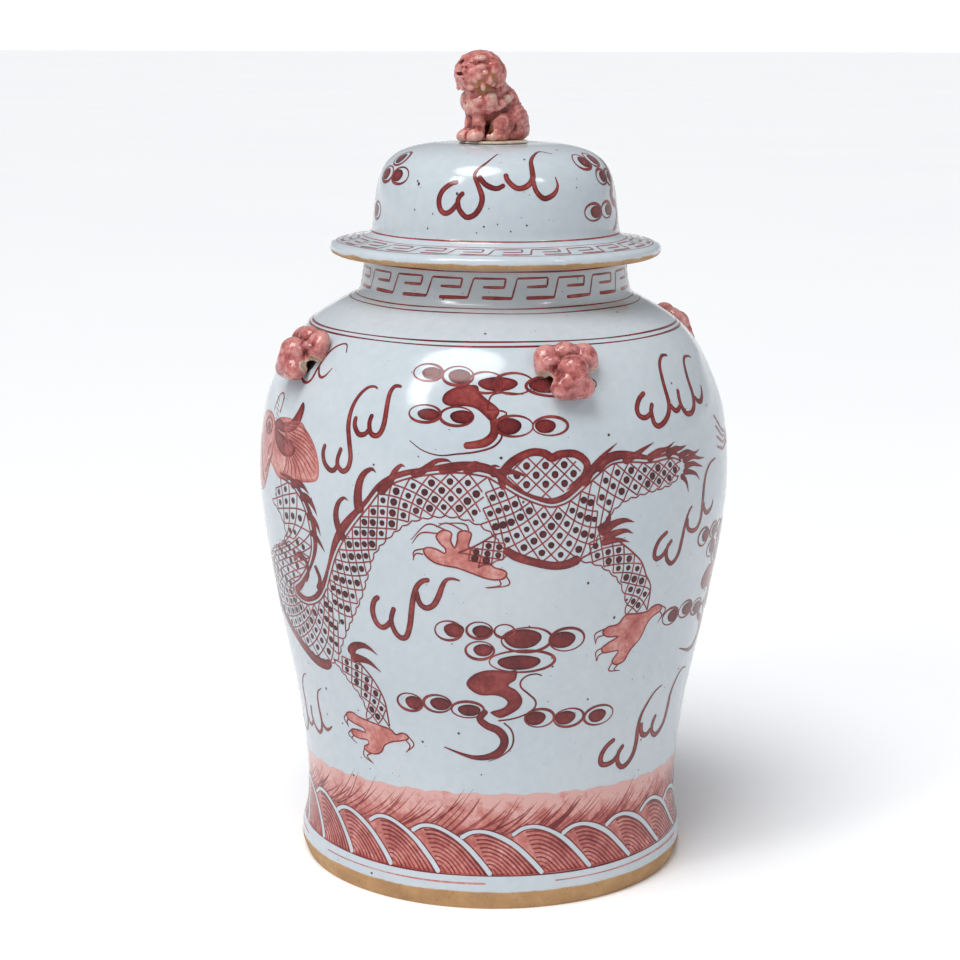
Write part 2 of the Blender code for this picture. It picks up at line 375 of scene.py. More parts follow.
def paint(name):
    """Copper-red brushwork: tone says how much pigment a stroke holds, 0 a thin wash, 1 pooled."""
    n = Nodes(name)
    streaks = n.noise(330.0, 4.0, 0.65)
    cloud = n.noise(75.0, 4.0, 0.6)
    shifted = n.math("ADD", n.attribute("tone"), n.math("MULTIPLY_ADD", cloud, 0.80, -0.40))
    shifted = n.math("ADD", shifted, n.math("MULTIPLY_ADD", streaks, 0.44, -0.22))
    colour = n.ramp(shifted, (0.0, srgb(206, 160, 154)), (0.20, srgb(184, 112, 104)),
                    (0.42, srgb(150, 70, 66)), (0.66, srgb(116, 42, 42)), (1.0, srgb(66, 20, 24)))
    n.bump(n.noise(420.0, 3.0, 0.6), 0.02, 0.0006)
    return n.finish(colour, 0.14, 0.35)


def modelled_glaze(name, deep, mid, pale, cream):
    """Copper red over modelled clay: deeper red and ochre where the glaze pools in the hollows, with painted
    shade near-black in the deepest of them, pale on ridges, and cream on slip.
    """
    n = Nodes(name)
    cavity, slip, rust = n.attribute("cavity"), n.attribute("slip"), n.attribute("rust")
    mottle = n.math("MULTIPLY_ADD", n.noise(210.0, 5.0, 0.7), 2.0, -1.0)
    broad = n.math("MULTIPLY_ADD", n.noise(62.0, 4.0, 0.6), 1.6, -0.8)
    level = n.math("ADD", n.math("ADD", n.math("MULTIPLY", cavity, 0.6), 0.45), n.math("ADD", mottle, broad))
    red = n.ramp(level, (0.0, pale), (0.38, mid), (0.74, deep), (1.0, srgb(96, 42, 38)))
    stain = n.math("MULTIPLY_ADD", n.noise(170.0, 5.0, 0.7), 1.5, -0.75)
    stained = n.math("ADD", n.math("MULTIPLY", cavity, 0.45), stain)
    ochre = n.math("ADD", n.math("MULTIPLY", rust, 0.75), stained)
    colour = n.mix(n.ramp(ochre, (0.34, 0.0), (0.80, 0.95)), red, srgb(152, 98, 52))
    rubbed = n.math("ADD", n.math("MULTIPLY", cavity, -0.55), stain)
    worn = n.math("ADD", n.math("MULTIPLY", slip, 0.8), rubbed)
    cloudy = n.ramp(n.noise(130.0, 5.0, 0.7), (0.34, srgb(172, 122, 96)), (0.52, srgb(196, 172, 152)),
                    (0.70, srgb(206, 194, 180)))
    colour = n.mix(n.ramp(worn, (0.34, 0.0), (0.86, cream)), colour, cloudy)
    # Painted shade: near-black where the hollow value is highest, in the deepest creases and inside a mask.
    colour = n.mix(n.ramp(n.math("MULTIPLY", cavity, 0.5), (0.70, 0.0), (1.0, 1.0)), colour, srgb(30, 20, 16))
    n.bump(n.noise(190.0, 3.0, 0.55), 0.45, 0.0012)
    return n.finish(colour, 0.05)


def pad_glaze(name):
    """Cream slip with toasted patches, under thin clear glaze."""
    n = Nodes(name)
    colour = n.ramp(n.noise(120.0, 5.0, 0.65), (0.34, srgb(176, 140, 104)), (0.50, srgb(206, 190, 168)),
                    (0.70, srgb(216, 208, 196)))
    n.bump(n.noise(300.0, 4.0), 0.2, 0.0006)
    return n.finish(colour, 0.25)


# A dark mottled material: the real iron specks, and the painted shade on the wall behind the masks' mouths.
def dark_iron_and_shade(name):
    n = Nodes(name)
    colour = n.ramp(n.noise(900.0, 2.0), (0.3, srgb(38, 30, 26)), (0.7, srgb(84, 68, 54)))
    return n.finish(colour, 0.3)


BODY_GLAZE = glaze("body_glaze", biscuit_below=0.0128)
LID_GLAZE = glaze("lid_glaze", biscuit_below=0.4260, biscuit_noise=0.0022)
BISCUIT = biscuit("biscuit")
PAINT = paint("copper_red")
IRON = dark_iron_and_shade("iron")
# Painted shade: the dark oval on the wall behind each mask's mouth, bare clay as it looks in deep shade.
MOUTH_SHADE = dark_iron_and_shade("shaded_bare_wall")
LION_GLAZE = modelled_glaze("lion_glaze", srgb(136, 62, 57), srgb(180, 100, 93), srgb(208, 146, 138), 0.92)
MASK_GLAZE = modelled_glaze("mask_glaze", srgb(128, 58, 58), srgb(172, 98, 94), srgb(200, 140, 134), 0.85)
PAD_GLAZE = pad_glaze("pad_glaze")


# ---------------------------------------------------------------- brushwork

class Brush:
    """Collects brush strokes on one turned wall into one thin mesh that follows it."""

    def __init__(self, wall, lift=PAINT_LIFT):
        self.wall = wall
        self.lift = lift
        self.points = []  # (azimuth, distance along the outline)
        self.tones = []
        self.faces = []

    def keep(self, points, tones, faces):
        start = len(self.points)
        self.points.extend(map(tuple, points))
        self.tones.extend(tones)
        self.faces.extend(tuple(int(i) + start for i in face) for face in faces)

    def stroke(self, rows, tone=0.55, edge=0.25, spacing=1.6, closed=False, taper=1.0):
        """A brushed line through rows of (azimuth, height, width in mm), with round ends."""
        rows = np.asarray(rows, float)
        s = self.wall.at_height(rows[:, 1])
        chart = np.column_stack([rows[:, 0], s, rows[:, 2]])
        scale = math.radians(1.0) * float(self.wall.radius(s.mean()))
        chart[:, 0] *= scale
        line = loop_curve(chart, spacing) if closed else catmull(chart, spacing)
        if not closed:
            line = self.round_ends(line, taper)
        across = self.normals(line, closed)
        lanes = np.array([-1.0, -0.7, 0.0, 0.7, 1.0] if line[:, 2].max() > 1.5 else [-1.0, 0.0, 1.0])
        tones = tone + edge * np.abs(lanes) ** 3
        half = line[:, 2] / 2
        grid = line[:, None, :2] + across[:, None, :] * (half[:, None] * lanes)[:, :, None]
        grid[..., 0] /= scale
        wide = len(lanes)
        count = len(line)
        faces = []
        for i in range(count if closed else count - 1):
            j = (i + 1) % count
            for k in range(wide - 1):
                faces.append((i * wide + k, i * wide + k + 1, j * wide + k + 1, j * wide + k))
        self.keep(grid.reshape(-1, 2), np.tile(tones, count), faces)

    @staticmethod
    def normals(line, closed):
        if closed:
            along = np.roll(line[:, :2], -1, 0) - np.roll(line[:, :2], 1, 0)
        else:
            along = np.gradient(line[:, :2], axis=0)
        along /= np.maximum(np.linalg.norm(along, axis=1), 1e-9)[:, None]
        return np.column_stack([-along[:, 1], along[:, 0]])

    @staticmethod
    def round_ends(line, taper):
        """Extra points near both ends, where the width falls to a rounded or drawn-out tip."""
        run = distance_along(line)
        total = run[-1]
        for end, width in ((0.0, line[0, 2]), (total, line[-1, 2])):
            reach = min(width / 2 * taper, total / 2)
            extra = np.array([0.04, 0.16, 0.4, 0.7, 1.0]) * reach
            at = extra if end == 0 else total - extra
            run_new = np.unique(np.concatenate([run, at]))
            line = np.column_stack([np.interp(run_new, run, line[:, i]) for i in range(3)])
            run = run_new
        first, last = line[0, 2], line[-1, 2]
        for i, d in enumerate(run):
            for reach, left in ((first / 2 * taper, d), (last / 2 * taper, total - d)):
                if reach > 0 and left < reach:
                    line[i, 2] *= max(0.05, math.sqrt(1 - (1 - left / reach) ** 2))
        return line

    def fill(self, rows, tone=0.3, edge=0.35, rim=1.3, spacing=1.6, grid=4.5, smooth=True):
        """An area of paint inside an outline of (azimuth, height), darker along its rim where it pooled."""
        rows = np.asarray(rows, float)
        s = self.wall.at_height(rows[:, 1])
        scale = math.radians(1.0) * float(self.wall.radius(s.mean()))
        chart = np.column_stack([rows[:, 0] * scale, s])
        if smooth:
            outline = loop_curve(chart, spacing)
        else:
            parts = [catmull(np.array([a, b]), spacing)[:-1] for a, b in zip(chart, np.roll(chart, -1, 0))]
            outline = np.vstack(parts)
        low, high = outline.min(0), outline.max(0)
        inner = []
        across = self.normals(np.column_stack([outline, outline[:, :1]]), True)
        area = np.sum(outline[:, 0] * np.roll(outline[:, 1], -1) - np.roll(outline[:, 0], -1) * outline[:, 1])
        inward = across * (1 if area > 0 else -1)
        for depth in (0.45 * rim, rim):
            for point in outline + inward * depth:
                if self.clearance(point, outline) > depth * 0.8 and self.holds(point, outline):
                    inner.append(point)
        for x in np.arange(low[0], high[0], grid):
            for y in np.arange(low[1], high[1], grid):
                point = np.array([x, y])
                if self.clearance(point, outline) > rim * 1.5 and self.holds(point, outline):
                    inner.append(point)
        count = len(outline)
        edges = [(i, (i + 1) % count) for i in range(count)]
        every = [Vector(p) for p in outline] + [Vector(p) for p in inner]
        verts, _, faces, *_ = delaunay_2d_cdt(every, edges, [], 1, 1e-5)
        points = np.array([tuple(v) for v in verts])
        distance = np.array([self.clearance(p, outline) for p in points])
        tones = tone + edge * np.clip(1 - distance / rim, 0, 1)
        points = points / (scale, 1.0)
        self.keep(points, tones, faces)

    @staticmethod
    def clearance(point, outline):
        a = outline
        ab = np.roll(outline, -1, 0) - a
        t = np.clip(((point - a) * ab).sum(1) / np.maximum((ab ** 2).sum(1), 1e-12), 0, 1)
        return float(np.sqrt((((a + ab * t[:, None]) - point) ** 2).sum(1).min()))

    @staticmethod
    def holds(point, outline):
        x, y = point
        x0, y0 = outline[:, 0], outline[:, 1]
        x1, y1 = np.roll(x0, -1), np.roll(y0, -1)
        crosses = (y0 > y) != (y1 > y)
        with np.errstate(divide="ignore", invalid="ignore"):
            at = x0 + (y - y0) * (x1 - x0) / (y1 - y0)
        return bool(np.sum(crosses & (x < at)) % 2)

    def oval(self, azimuth, z, wide, high, tone=0.7, edge=0.2, turn=0.0, count=14):
        """A filled oval, sizes in mm."""
        s = float(self.wall.at_height(z))
        scale = math.radians(1.0) * float(self.wall.radius(s))
        angles = np.arange(count) * 2 * math.pi / count
        x = np.cos(angles) * wide / 2
        y = np.sin(angles) * high / 2
        turn = math.radians(turn)
        px = x * math.cos(turn) - y * math.sin(turn)
        py = x * math.sin(turn) + y * math.cos(turn)
        rings = [(1.0, tone + edge), (0.8, tone + edge * 0.4), (0.35, tone)]
        points, tones, faces = [], [], []
        for size, value in rings:
            points += [(azimuth + a * size / scale, s + b * size) for a, b in zip(px, py)]
            tones += [value] * count
        points.append((azimuth, s))
        tones.append(tone)
        for ring in range(len(rings) - 1):
            for k in range(count):
                n = (k + 1) % count
                start, after = ring * count, (ring + 1) * count
                faces.append((start + k, start + n, after + n, after + k))
        inmost = (len(rings) - 1) * count
        for k in range(count):
            faces.append((inmost + k, inmost + (k + 1) % count, inmost + count))
        self.keep(points, tones, faces)

    def copied_round(self, turn):
        """A second set of everything painted so far, turned round the jar."""
        points = [(a + turn, s) for a, s in self.points]
        self.keep(points, list(self.tones), list(self.faces))

    def make(self, name, material, body, slot):
        """The collected strokes as one object."""
        points = np.array(self.points)
        places = self.wall.place(points[:, 0], points[:, 1], self.lift)
        faces = self.facing_out(places)
        made = add_mesh(name, places, faces, material, body)
        tone = made.data.attributes.new("tone", "FLOAT", "POINT")
        tone.data.foreach_set("value", np.asarray(self.tones, np.float32))
        return made

    def facing_out(self, places):
        """Each face turned so that its normal leaves the wall."""
        turned_faces = []
        axis_up = np.array([0.0, 0.0, 1.0])
        for face in self.faces:
            a, b, c = (places[i] for i in face[:3])
            normal = np.cross(b - a, c - a)
            if len(face) == 4 and np.dot(normal, normal) < 1e-20:
                a, b, c = (places[i] for i in (face[0], face[2], face[3]))
                normal = np.cross(b - a, c - a)
            outward = np.array([a[0], a[1], 0.0])
            outward = outward / (np.linalg.norm(outward) + 1e-12) + 0.6 * axis_up
            turned_faces.append(face if np.dot(normal, outward) >= 0 else face[::-1])
        return turned_faces


# ---------------------------------------------------------------- the jar and the lid

def thinned(rows, spacing):
    """Rows of an outline at least this far apart, with both ends kept."""
    kept = [rows[0]]
    for row in rows[1:-1]:
        if math.dist(kept[-1], row) >= spacing and math.dist(row, rows[-1]) >= spacing / 2:
            kept.append(row)
    return [*kept, rows[-1]]


def make_body():
    """The jar's three turned pieces, each with its wall, its inside and what closes it below."""
    outer = BODY_OUTLINE + NECK_OUTLINE
    seams = (0.0, BODY_SEAM, NECK_SEAM, NECK_MOUTH)
    inside = BODY_INSIDE[1:-2][::-1]
    foot = [(5.0, [(0.0, FOOT_HOLLOW), FOOT_RING[0]]), (1.0, FOOT_RING), (1.0, FOOT_REST)]
    floor = [(5.0, [(radius, INNER_FLOOR) for radius in (110.0, 60.0, 0.0)])]
    for name, low, high in zip(("lower_body", "upper_body", "neck_collar"), seams, seams[1:]):
        wall = thinned(between(outer, low, high), 2.6 if name != "neck_collar" else 0.9)
        back = thinned(between(inside, max(low, INNER_FLOOR + 0.4), high), 5.0)[::-1]
        rows = section(*(foot if low == 0 else []), (50.0, wall), (50.0, [wall[-1], back[0]]), (50.0, back),
                       *(floor if low == 0 else [(50.0, [back[-1], wall[0]])]))
        piece = turned(name + "_glazed", rows, SEGMENTS, BODY_GLAZE, JAR)
        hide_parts(name)


def make_lid():
    """The lid, glazed, with bare clay only along its lowest edge, and the ring under it that finds the neck's
    mouth.
    """
    rows = section((1.2, LID_OUTLINE[:5]), (1.5, LID_OUTLINE[4:8]), (2.4, LID_OUTLINE[7:] + [(20.0, 497.0)]),
                   (4.0, [(20.0, 497.0), (0.0, 497.0)]))
    under = section((3.0, LID_INSIDE))
    rows = [*rows[::-1], *under[::-1]]
    lid = turned("lid_glazed", rows, SEGMENTS, LID_GLAZE, LID)
    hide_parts("lid")
    ring = section((1.0, [(RING_OUTER, 422.2), (RING_OUTER, 414.0), (RING_OUTER - 0.4, 408.0)]),
                   (0.6, [(RING_OUTER - 0.4, 408.0), (RING_OUTER - 1.8, 406.0), (RING_INNER + 1.6, 406.0),
                          (RING_INNER, 407.6)]),
                   (2.0, [(RING_INNER, 407.6), (RING_INNER, 422.2)]))
    seat = turned("lid_locating_ring_fired", ring, SEGMENTS, BISCUIT, LID)
    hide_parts("lid_locating_ring")


# ---------------------------------------------------------------- modelled clay: the lion and the masks

class Clay:
    """A shape pressed together from soft lumps, held as a distance field on a grid in millimetres."""

    def __init__(self, low, high, cell):
        self.low = np.array(low, float)
        self.cell = cell
        self.shape = tuple(int(math.ceil((b - a) / cell)) + 1 for a, b in zip(low, high))
        self.field = np.full(self.shape, 20.0)

    def window(self, centre, reach):
        """The part of the grid within reach of a centre, and the places of its points."""
        centre, reach = np.array(centre, float), np.array(reach, float)
        first = np.clip(np.floor((centre - reach - self.low) / self.cell), 0, None).astype(int)
        last = np.minimum(np.ceil((centre + reach - self.low) / self.cell).astype(int) + 1, self.shape)
        part = tuple(slice(a, b) for a, b in zip(first, last))
        axes = [self.low[i] + self.cell * np.arange(first[i], last[i]) for i in range(3)]
        return part, np.meshgrid(*axes, indexing="ij")

    @staticmethod
    def ellipsoid(places, centre, radii):
        p = [(axis - c) / r for axis, c, r in zip(places, centre, radii)]
        near = np.sqrt(sum(q * q for q in p))
        steep = np.sqrt(sum((q / r) ** 2 for q, r in zip(p, radii))) + 1e-9
        return near * (near - 1.0) / steep

    def press(self, centre, radii, soft=1.5):
        """Adds an ellipsoid, blended into what is there."""
        part, places = self.window(centre, np.array(radii) + soft + 2.0)
        other = self.ellipsoid(places, centre, radii)
        here = self.field[part]
        h = np.clip(0.5 + 0.5 * (other - here) / soft, 0, 1)
        self.field[part] = other * (1 - h) + here * h - soft * h * (1 - h)

    def hollow(self, centre, radii, soft=0.8):
        """Takes an ellipsoid away, with a rounded rim."""
        part, places = self.window(centre, np.array(radii) + soft + 2.0)
        other = -self.ellipsoid(places, centre, radii)
        here = self.field[part]
        h = np.clip(0.5 - 0.5 * (other - here) / soft, 0, 1)
        self.field[part] = other * (1 - h) + here * h + soft * h * (1 - h)

    def pair(self, centre, radii, soft=1.5):
        """The same lump on both sides of the middle, which is where the second number is 0."""
        self.press(centre, radii, soft)
        self.press((centre[0], -centre[1], centre[2]), radii, soft)

    def places(self):
        axes = [self.low[i] + self.cell * np.arange(self.shape[i]) for i in range(3)]
        return np.meshgrid(*axes, indexing="ij")

    def surface(self):
        """Points in mm, faces, and how far each point lies in a hollow (above 0) or on a ridge (below 0)."""
        grid = openvdb.FloatGrid()
        grid.background = 3.0 * self.cell
        reach = 3.0 * self.cell
        grid.copyFromArray(np.clip(self.field, -reach, reach).astype(np.float32))
        points, quads = grid.convertToQuads(isovalue=0.0)
        points = np.asarray(points, float)
        inside = (self.field < 0).astype(float)
        depth = self.sample(box_blur(inside, int(round(2.2 / self.cell))), points) - 0.5
        return self.low + points * self.cell, np.asarray(quads, int)[:, ::-1], depth * 4.0

    @staticmethod
    def sample(values, points):
        low = np.clip(np.floor(points).astype(int), 0, np.array(values.shape) - 2)
        t = points - low
        found = 0.0
        for corner in range(8):
            step = np.array([corner & 1, corner >> 1 & 1, corner >> 2])
            weight = np.prod(np.where(step == 1, t, 1 - t), axis=1)
            found = found + weight * values[tuple((low + step).T)]
        return found


def box_blur(values, reach):
    """Each cell's mean over a cube around it, twice over."""
    for _ in range(2):
        for axis in range(3):
            margins = [(reach + 1, reach) if i == axis else (0, 0) for i in range(3)]
            wide = np.pad(values, margins, mode="edge")
            total = np.cumsum(wide, axis=axis)
            size = 2 * reach + 1
            upper = np.take(total, range(size, size + values.shape[axis]), axis=axis)
            lower = np.take(total, range(values.shape[axis]), axis=axis)
            values = (upper - lower) / size
    return values


def nearness(points, places):
    """How near each point is to the nearest of the places, 1 at its middle and 0 beyond its size."""
    best = np.zeros(len(points))
    for centre, size in places:
        away = np.linalg.norm((points - centre) / size, axis=1)
        best = np.maximum(best, np.clip(1.3 - away, 0, 1))
    return best


def make_clay(name, clay, matrix, material, body, slip=(), rust=(), hollow=None, cuts=()):
    """A modelled shape as an object. slip and rust say where it is cream and ochre, hollow where its inside
    is painted near-black as shade, and cuts where a tool left a bare face."""
    points, quads, depth = clay.surface()
    turn = np.array(matrix)
    world = points @ turn[:3, :3].T * MM + turn[:3, 3]
    piece = add_mesh(name, world, quads, material, body, sharp=180.0)
    relax = piece.modifiers.new("relax", "SMOOTH")
    relax.factor, relax.iterations = 0.5, 2
    bpy.context.view_layer.update()
    evaluated = piece.evaluated_get(bpy.context.evaluated_depsgraph_get())
    settled = np.empty(len(piece.data.vertices) * 3, np.float32)
    evaluated.data.vertices.foreach_get("co", settled)
    piece.modifiers.clear()
    piece.data.vertices.foreach_set("co", settled)
    # Painted shade: every point inside the mask's hollow gets the deepest hollow value, so the glaze draws it
    # near-black.
    if hollow is not None:
        inside = np.linalg.norm((points - hollow[0]) / hollow[1], axis=1) < 1.06
        depth = np.where(inside, 2.5, depth)
    bare = nearness(points, slip)
    for centre, radii in cuts:
        face = np.linalg.norm((points - centre) / radii, axis=1) < 1.10
        depth = np.where(face & (depth < 2.0), -0.6, depth)
        bare = np.where(face, 1.3, bare)
    for label, values in (("cavity", depth), ("slip", bare), ("rust", nearness(points, rust))):
        kept = piece.data.attributes.new(label, "FLOAT", "POINT")
        kept.data.foreach_set("value", np.asarray(values, np.float32))
    piece.data.update()
    return piece


# The lion's lumps in mm from the middle of its base: forward, to its left and up, then how softly each is
# pressed on. The second list comes in pairs.
LION_MIDDLE = [
    ((-14.5, 0, 12.5), (12.8, 14.5, 13.0), 3.0), ((-7, 0, 22), (13.0, 12.5, 15.0), 4.0),
    ((6, 0, 23), (11, 11, 13), 4.0), ((4, 0, 35), (11.5, 11.5, 11), 5.0),
    ((12.6, 0, 45.0), (15.6, 16.8, 14.9), 3.0), ((23.0, 0, 45.2), (7.2, 11.5, 8.4), 5.0),
    ((27.2, 2.0, 49.6), (3.0, 4.0, 2.6), 2.0), ((22.0, 0, 37.4), (5.2, 8.4, 4.4), 2.5),
    ((15.6, 0.4, 23.2), (9.4, 9.6, 9.8), 1.0), ((18, 0, 33.0), (6, 7, 4), 3.0),
    ((-19.0, 0, 18), (5.4, 5.2, 8.5), 3.0),
]
LION_PAIRS = [
    ((-15, 6, 6), (10, 9.5, 7), 3.0), ((-9, 9.5, 12), (11, 7.0, 12.0), 2.5),
    ((3.0, 9.6, 9), (8.0, 6.6, 10.5), 1.2), ((6.5, 9.6, 3.6), (8.5, 6.4, 4.6), 1.4),
    ((14.0, 9.2, 26.0), (6.2, 6.0, 8.0), 2.4), ((17.3, 3.4, 10.5), (5.2, 4.4, 11.5), 1.5),
    ((21.4, 4.4, 3.6), (6.0, 5.6, 4.8), 1.5), ((8.0, 10.4, 22.4), (4.5, 3.2, 3.0), 1.4),
    ((3.4, 11.0, 24.8), (4.6, 3.2, 3.6), 1.2), ((-1.2, 11.2, 27.4), (4.4, 3.2, 3.4), 1.2),
    ((-5.0, 10.4, 29.4), (3.0, 2.6, 2.4), 1.2), ((13.4, 14.2, 48.6), (5.0, 3.2, 4.6), 1.6),
    ((6.6, 13.0, 44.0), (4.6, 3.0, 7.2), 2.4),
]
# Beads of the mane, in pairs, round the jaw and up the cheek: place, size and how much taller than wide.
LION_CURLS = [
    ((25.0, 4.0, 35.6), 2.5, 1.0), ((25.6, 8.6, 39.6), 1.7, 1.0), ((21.6, 11.6, 36.0), 1.9, 1.5),
    ((24.6, 10.4, 42.4), 1.9, 1.1), ((18.6, 14.4, 40.8), 2.1, 1.9), ((21.8, 13.2, 45.6), 2.1, 0.9),
    ((16.6, 15.2, 45.8), 1.9, 1.2), ((23.4, 8.0, 36.6), 1.5, 1.0), ((15.2, 14.0, 38.0), 1.9, 1.2),
    ((11.0, 14.6, 41.0), 2.0, 1.4), ((10.6, 13.4, 36.6), 1.8, 1.1), ((6.6, 12.8, 37.6), 1.8, 1.2),
]


def pad_middle():
    """The middle of the pad that the lion sits on."""
    low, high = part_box("finial_pad")
    return (low + high) / 2


def make_lion():
    """The seated lion of the finial, its head turned a little towards the jar's front."""
    clay = Clay((-30, -21, -1.2), (32.5, 21, 61.5), 0.55)
    for centre, radii, soft in LION_MIDDLE:
        clay.press(centre, radii, soft)
    for centre, radii, soft in LION_PAIRS:
        clay.pair(centre, radii, soft)
    for centre, size, tall in LION_CURLS:
        clay.pair(centre, (size, size, size * tall), 0.9)
    for side in (-1, 1):
        for toe in (-2.8, 0.0, 2.8):
            clay.press((26.0 - 0.35 * abs(toe), side * 4.6 + toe, 2.4), (2.4, 1.9, 2.4), 1.2)
            clay.press((13.6 - 0.25 * abs(toe), side * 9.8 + toe, 2.4), (2.4, 1.9, 2.4), 1.2)
        eye = 3.0 + side * 6.0
        clay.press((22.2, 3.0 + side * 6.4, 54.4), (4.0, 4.2, 2.4), 2.0)
        clay.press((23.2, 3.0 + side * 6.8, 49.0), (4.2, 4.4, 2.4), 1.6)
        clay.hollow((27.6, eye, 51.9), (3.6, 2.6, 1.4), 1.4)
        clay.press((24.4, eye, 51.9), (1.5, 1.5, 1.2), 0.4)
        clay.hollow((30.0, 2.0 + side * 1.8, 48.6), (1.2, 1.1, 0.7), 0.6)
        clay.hollow((-5.5, side * 16.6, 4.8), (2.0, 3.4, 6.8), 1.0)
        clay.hollow((12.6, side * 8.0, 6.0), (2.2, 3.6, 8.5), 1.2)
        clay.hollow((2.0, side * 15.2, 20.6), (8.0, 1.6, 0.8), 0.8)
    clay.hollow((29.6, -2.6, 44.2), (3.0, 4.2, 1.2), 0.9)
    clay.hollow((29.2, 1.2, 41.0), (1.0, 0.7, 0.7), 0.3)
    clay.hollow((26.5, 0, 6.0), (3.0, 1.0, 7.0), 1.0)
    clay.hollow((24.4, -3.0, 25.0), (1.7, 1.2, 1.5), 0.3)
    f, l, u = clay.places()
    fur = np.clip((2.0 - f) / 8.0, 0, 1) * np.clip((u - 6.0) / 6.0, 0, 1) * np.clip((44 - u) / 6.0, 0, 1)
    clay.field += 0.22 * fur * np.sin(1.7 * (u + 0.55 * f) + 1.6 * np.sin(0.45 * l + 0.3 * f))
    mane = np.clip((u - 46.0) / 6.0, 0, 1) * np.clip((16.0 - f) / 8.0, 0, 1)
    clay.field += 0.16 * mane * np.sin(1.9 * l + 0.6 * np.sin(0.4 * f))
    lumps = np.sin(0.9 * f + 1.3 * l + 0.4) * np.sin(1.1 * u - 0.7 * l) * np.sin(0.8 * l + 0.5 * f)
    clay.field += 0.34 * lumps
    clay.field = np.maximum(clay.field, 0.02 - u)
    facing = math.radians(LION_FACING)
    ahead = Vector((math.sin(facing), -math.cos(facing), 0.0))
    up = Vector((0.0, 0.0, 1.0))
    side = up.cross(ahead)
    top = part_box("finial_pad")[1].z
    matrix = Matrix((ahead, side, up)).transposed().to_4x4()
    middle = pad_middle()
    matrix.translation = Vector((middle.x, middle.y, top + 0.0001))
    slip = [((17, 0, 25), 9.5), ((14, 10, 29), 6.5), ((14, -10, 29), 6.5), ((0, 13, 28), 3.5)]
    lion = make_clay("finial_lion_modelled", clay, matrix, LION_GLAZE, LID,
                     slip + [(centre, size * 0.9) for centre, size, tall in LION_CURLS],
                     [((22, 9, 38), 9.0), ((17, 14, 42), 7.0), ((15, 2, 14), 5.0), ((9, 9, 9), 6.0)])
    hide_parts("finial_lion")


# A mask's lumps in mm from the middle of its face: out, across and up, then how softly each is pressed on.
# The second list comes in pairs.
MASK_MIDDLE = [
    ((-1, 0, 4), (11, 18.6, 14.2), 2.0), ((6.8, -0.5, 12.6), (6.8, 8.6, 7.0), 1.3),
    ((12.2, 0.6, -1.0), (9.4, 10.0, 9.4), 1.0), ((7.8, -0.6, -10.0), (9.4, 13.6, 9.6), 2.4),
    ((13.4, 0, -8.4), (6.0, 9.0, 5.4), 3.0),
]
MASK_PAIRS = [
    ((4.6, 12.2, 9.4), (7.0, 9.2, 9.6), 1.6), ((9.4, 10.4, 5.6), (4.0, 6.4, 3.4), 1.0),
    ((3.4, 15.2, 4.0), (6.0, 5.6, 5.4), 2.6), ((9.0, 8.0, -12.6), (6.0, 6.0, 6.6), 3.0),
]
MASK_AZIMUTHS = {"front": 0.0, "right": 101.0, "back": 180.0, "left": -79.0}
MASK_CAVITY = ((-2.5, 0, -2), (12.5, 13.0, 12.5))
MASK_MOUTHS = [((4.0, side * 18.0, -5.6), (9.0, 7.4, 6.2)) for side in (-1, 1)]


def make_masks():
    """Four hollow lion masks on the shoulder, each with a mouth that opens to both sides."""
    for name, degrees in MASK_AZIMUTHS.items():
        azimuth, tilt = math.radians(degrees), math.radians(MASK_TILT)
        away = Vector((math.sin(azimuth), -math.cos(azimuth), 0.0))
        across = Vector((math.cos(azimuth), math.sin(azimuth), 0.0))
        rise = Vector((0.0, 0.0, 1.0))
        out = away * math.cos(tilt) + rise * math.sin(tilt)
        up = rise * math.cos(tilt) - away * math.sin(tilt)
        matrix = Matrix((out, across, up)).transposed().to_4x4()
        matrix.translation = (away * MASK_RADIUS + rise * MASK_HEIGHT) * MM
        clay = Clay((-12, -23, -22), (23, 23, 22.5), 0.5)
        for centre, radii, soft in MASK_MIDDLE:
            clay.press(centre, radii, soft)
        for centre, radii, soft in MASK_PAIRS:
            clay.pair(centre, radii, soft)
        clay.hollow(*MASK_CAVITY, 0.8)
        for centre, radii in MASK_MOUTHS:
            clay.hollow(centre, radii, 0.3)
        o, a, u = clay.places()
        world = [MM * o * out[i] + MM * a * across[i] + MM * u * up[i] + matrix.translation[i]
                 for i in range(3)]
        distance = np.hypot(world[0], world[1]) / MM
        row = np.interp(world[2] / MM, BODY_WALL.rz[:, 1], np.arange(len(BODY_WALL.rz)))
        wall = np.interp(row, np.arange(len(BODY_WALL.rz)), BODY_WALL.rz[:, 0])
        slant = np.interp(row, np.arange(len(BODY_WALL.rz)), BODY_WALL.normal[:, 0])
        above = (distance - wall) * slant
        clay.field = np.maximum(clay.field, -0.5 - above)
        mask = make_clay(f"mask_{name}_modelled", clay, matrix, MASK_GLAZE, JAR,
                         rust=[((13, 0, -9), 4.0)], hollow=MASK_CAVITY, cuts=MASK_MOUTHS)
        shade_under(name, degrees)
        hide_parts("mask_" + name)


def shade_under(name, azimuth):
    """Painted shadow: the wall that shows through a mask's mouth, bare clay drawn dark as it looks in deep
    shade.
    """
    brush = Brush(BODY_WALL)
    brush.oval(azimuth, MASK_HEIGHT - 1.0, 25.0, 22.0, 1.0, 1.0)
    brush.make(f"mask_{name}_shaded_bare_wall", MOUTH_SHADE, JAR, "body_glaze")


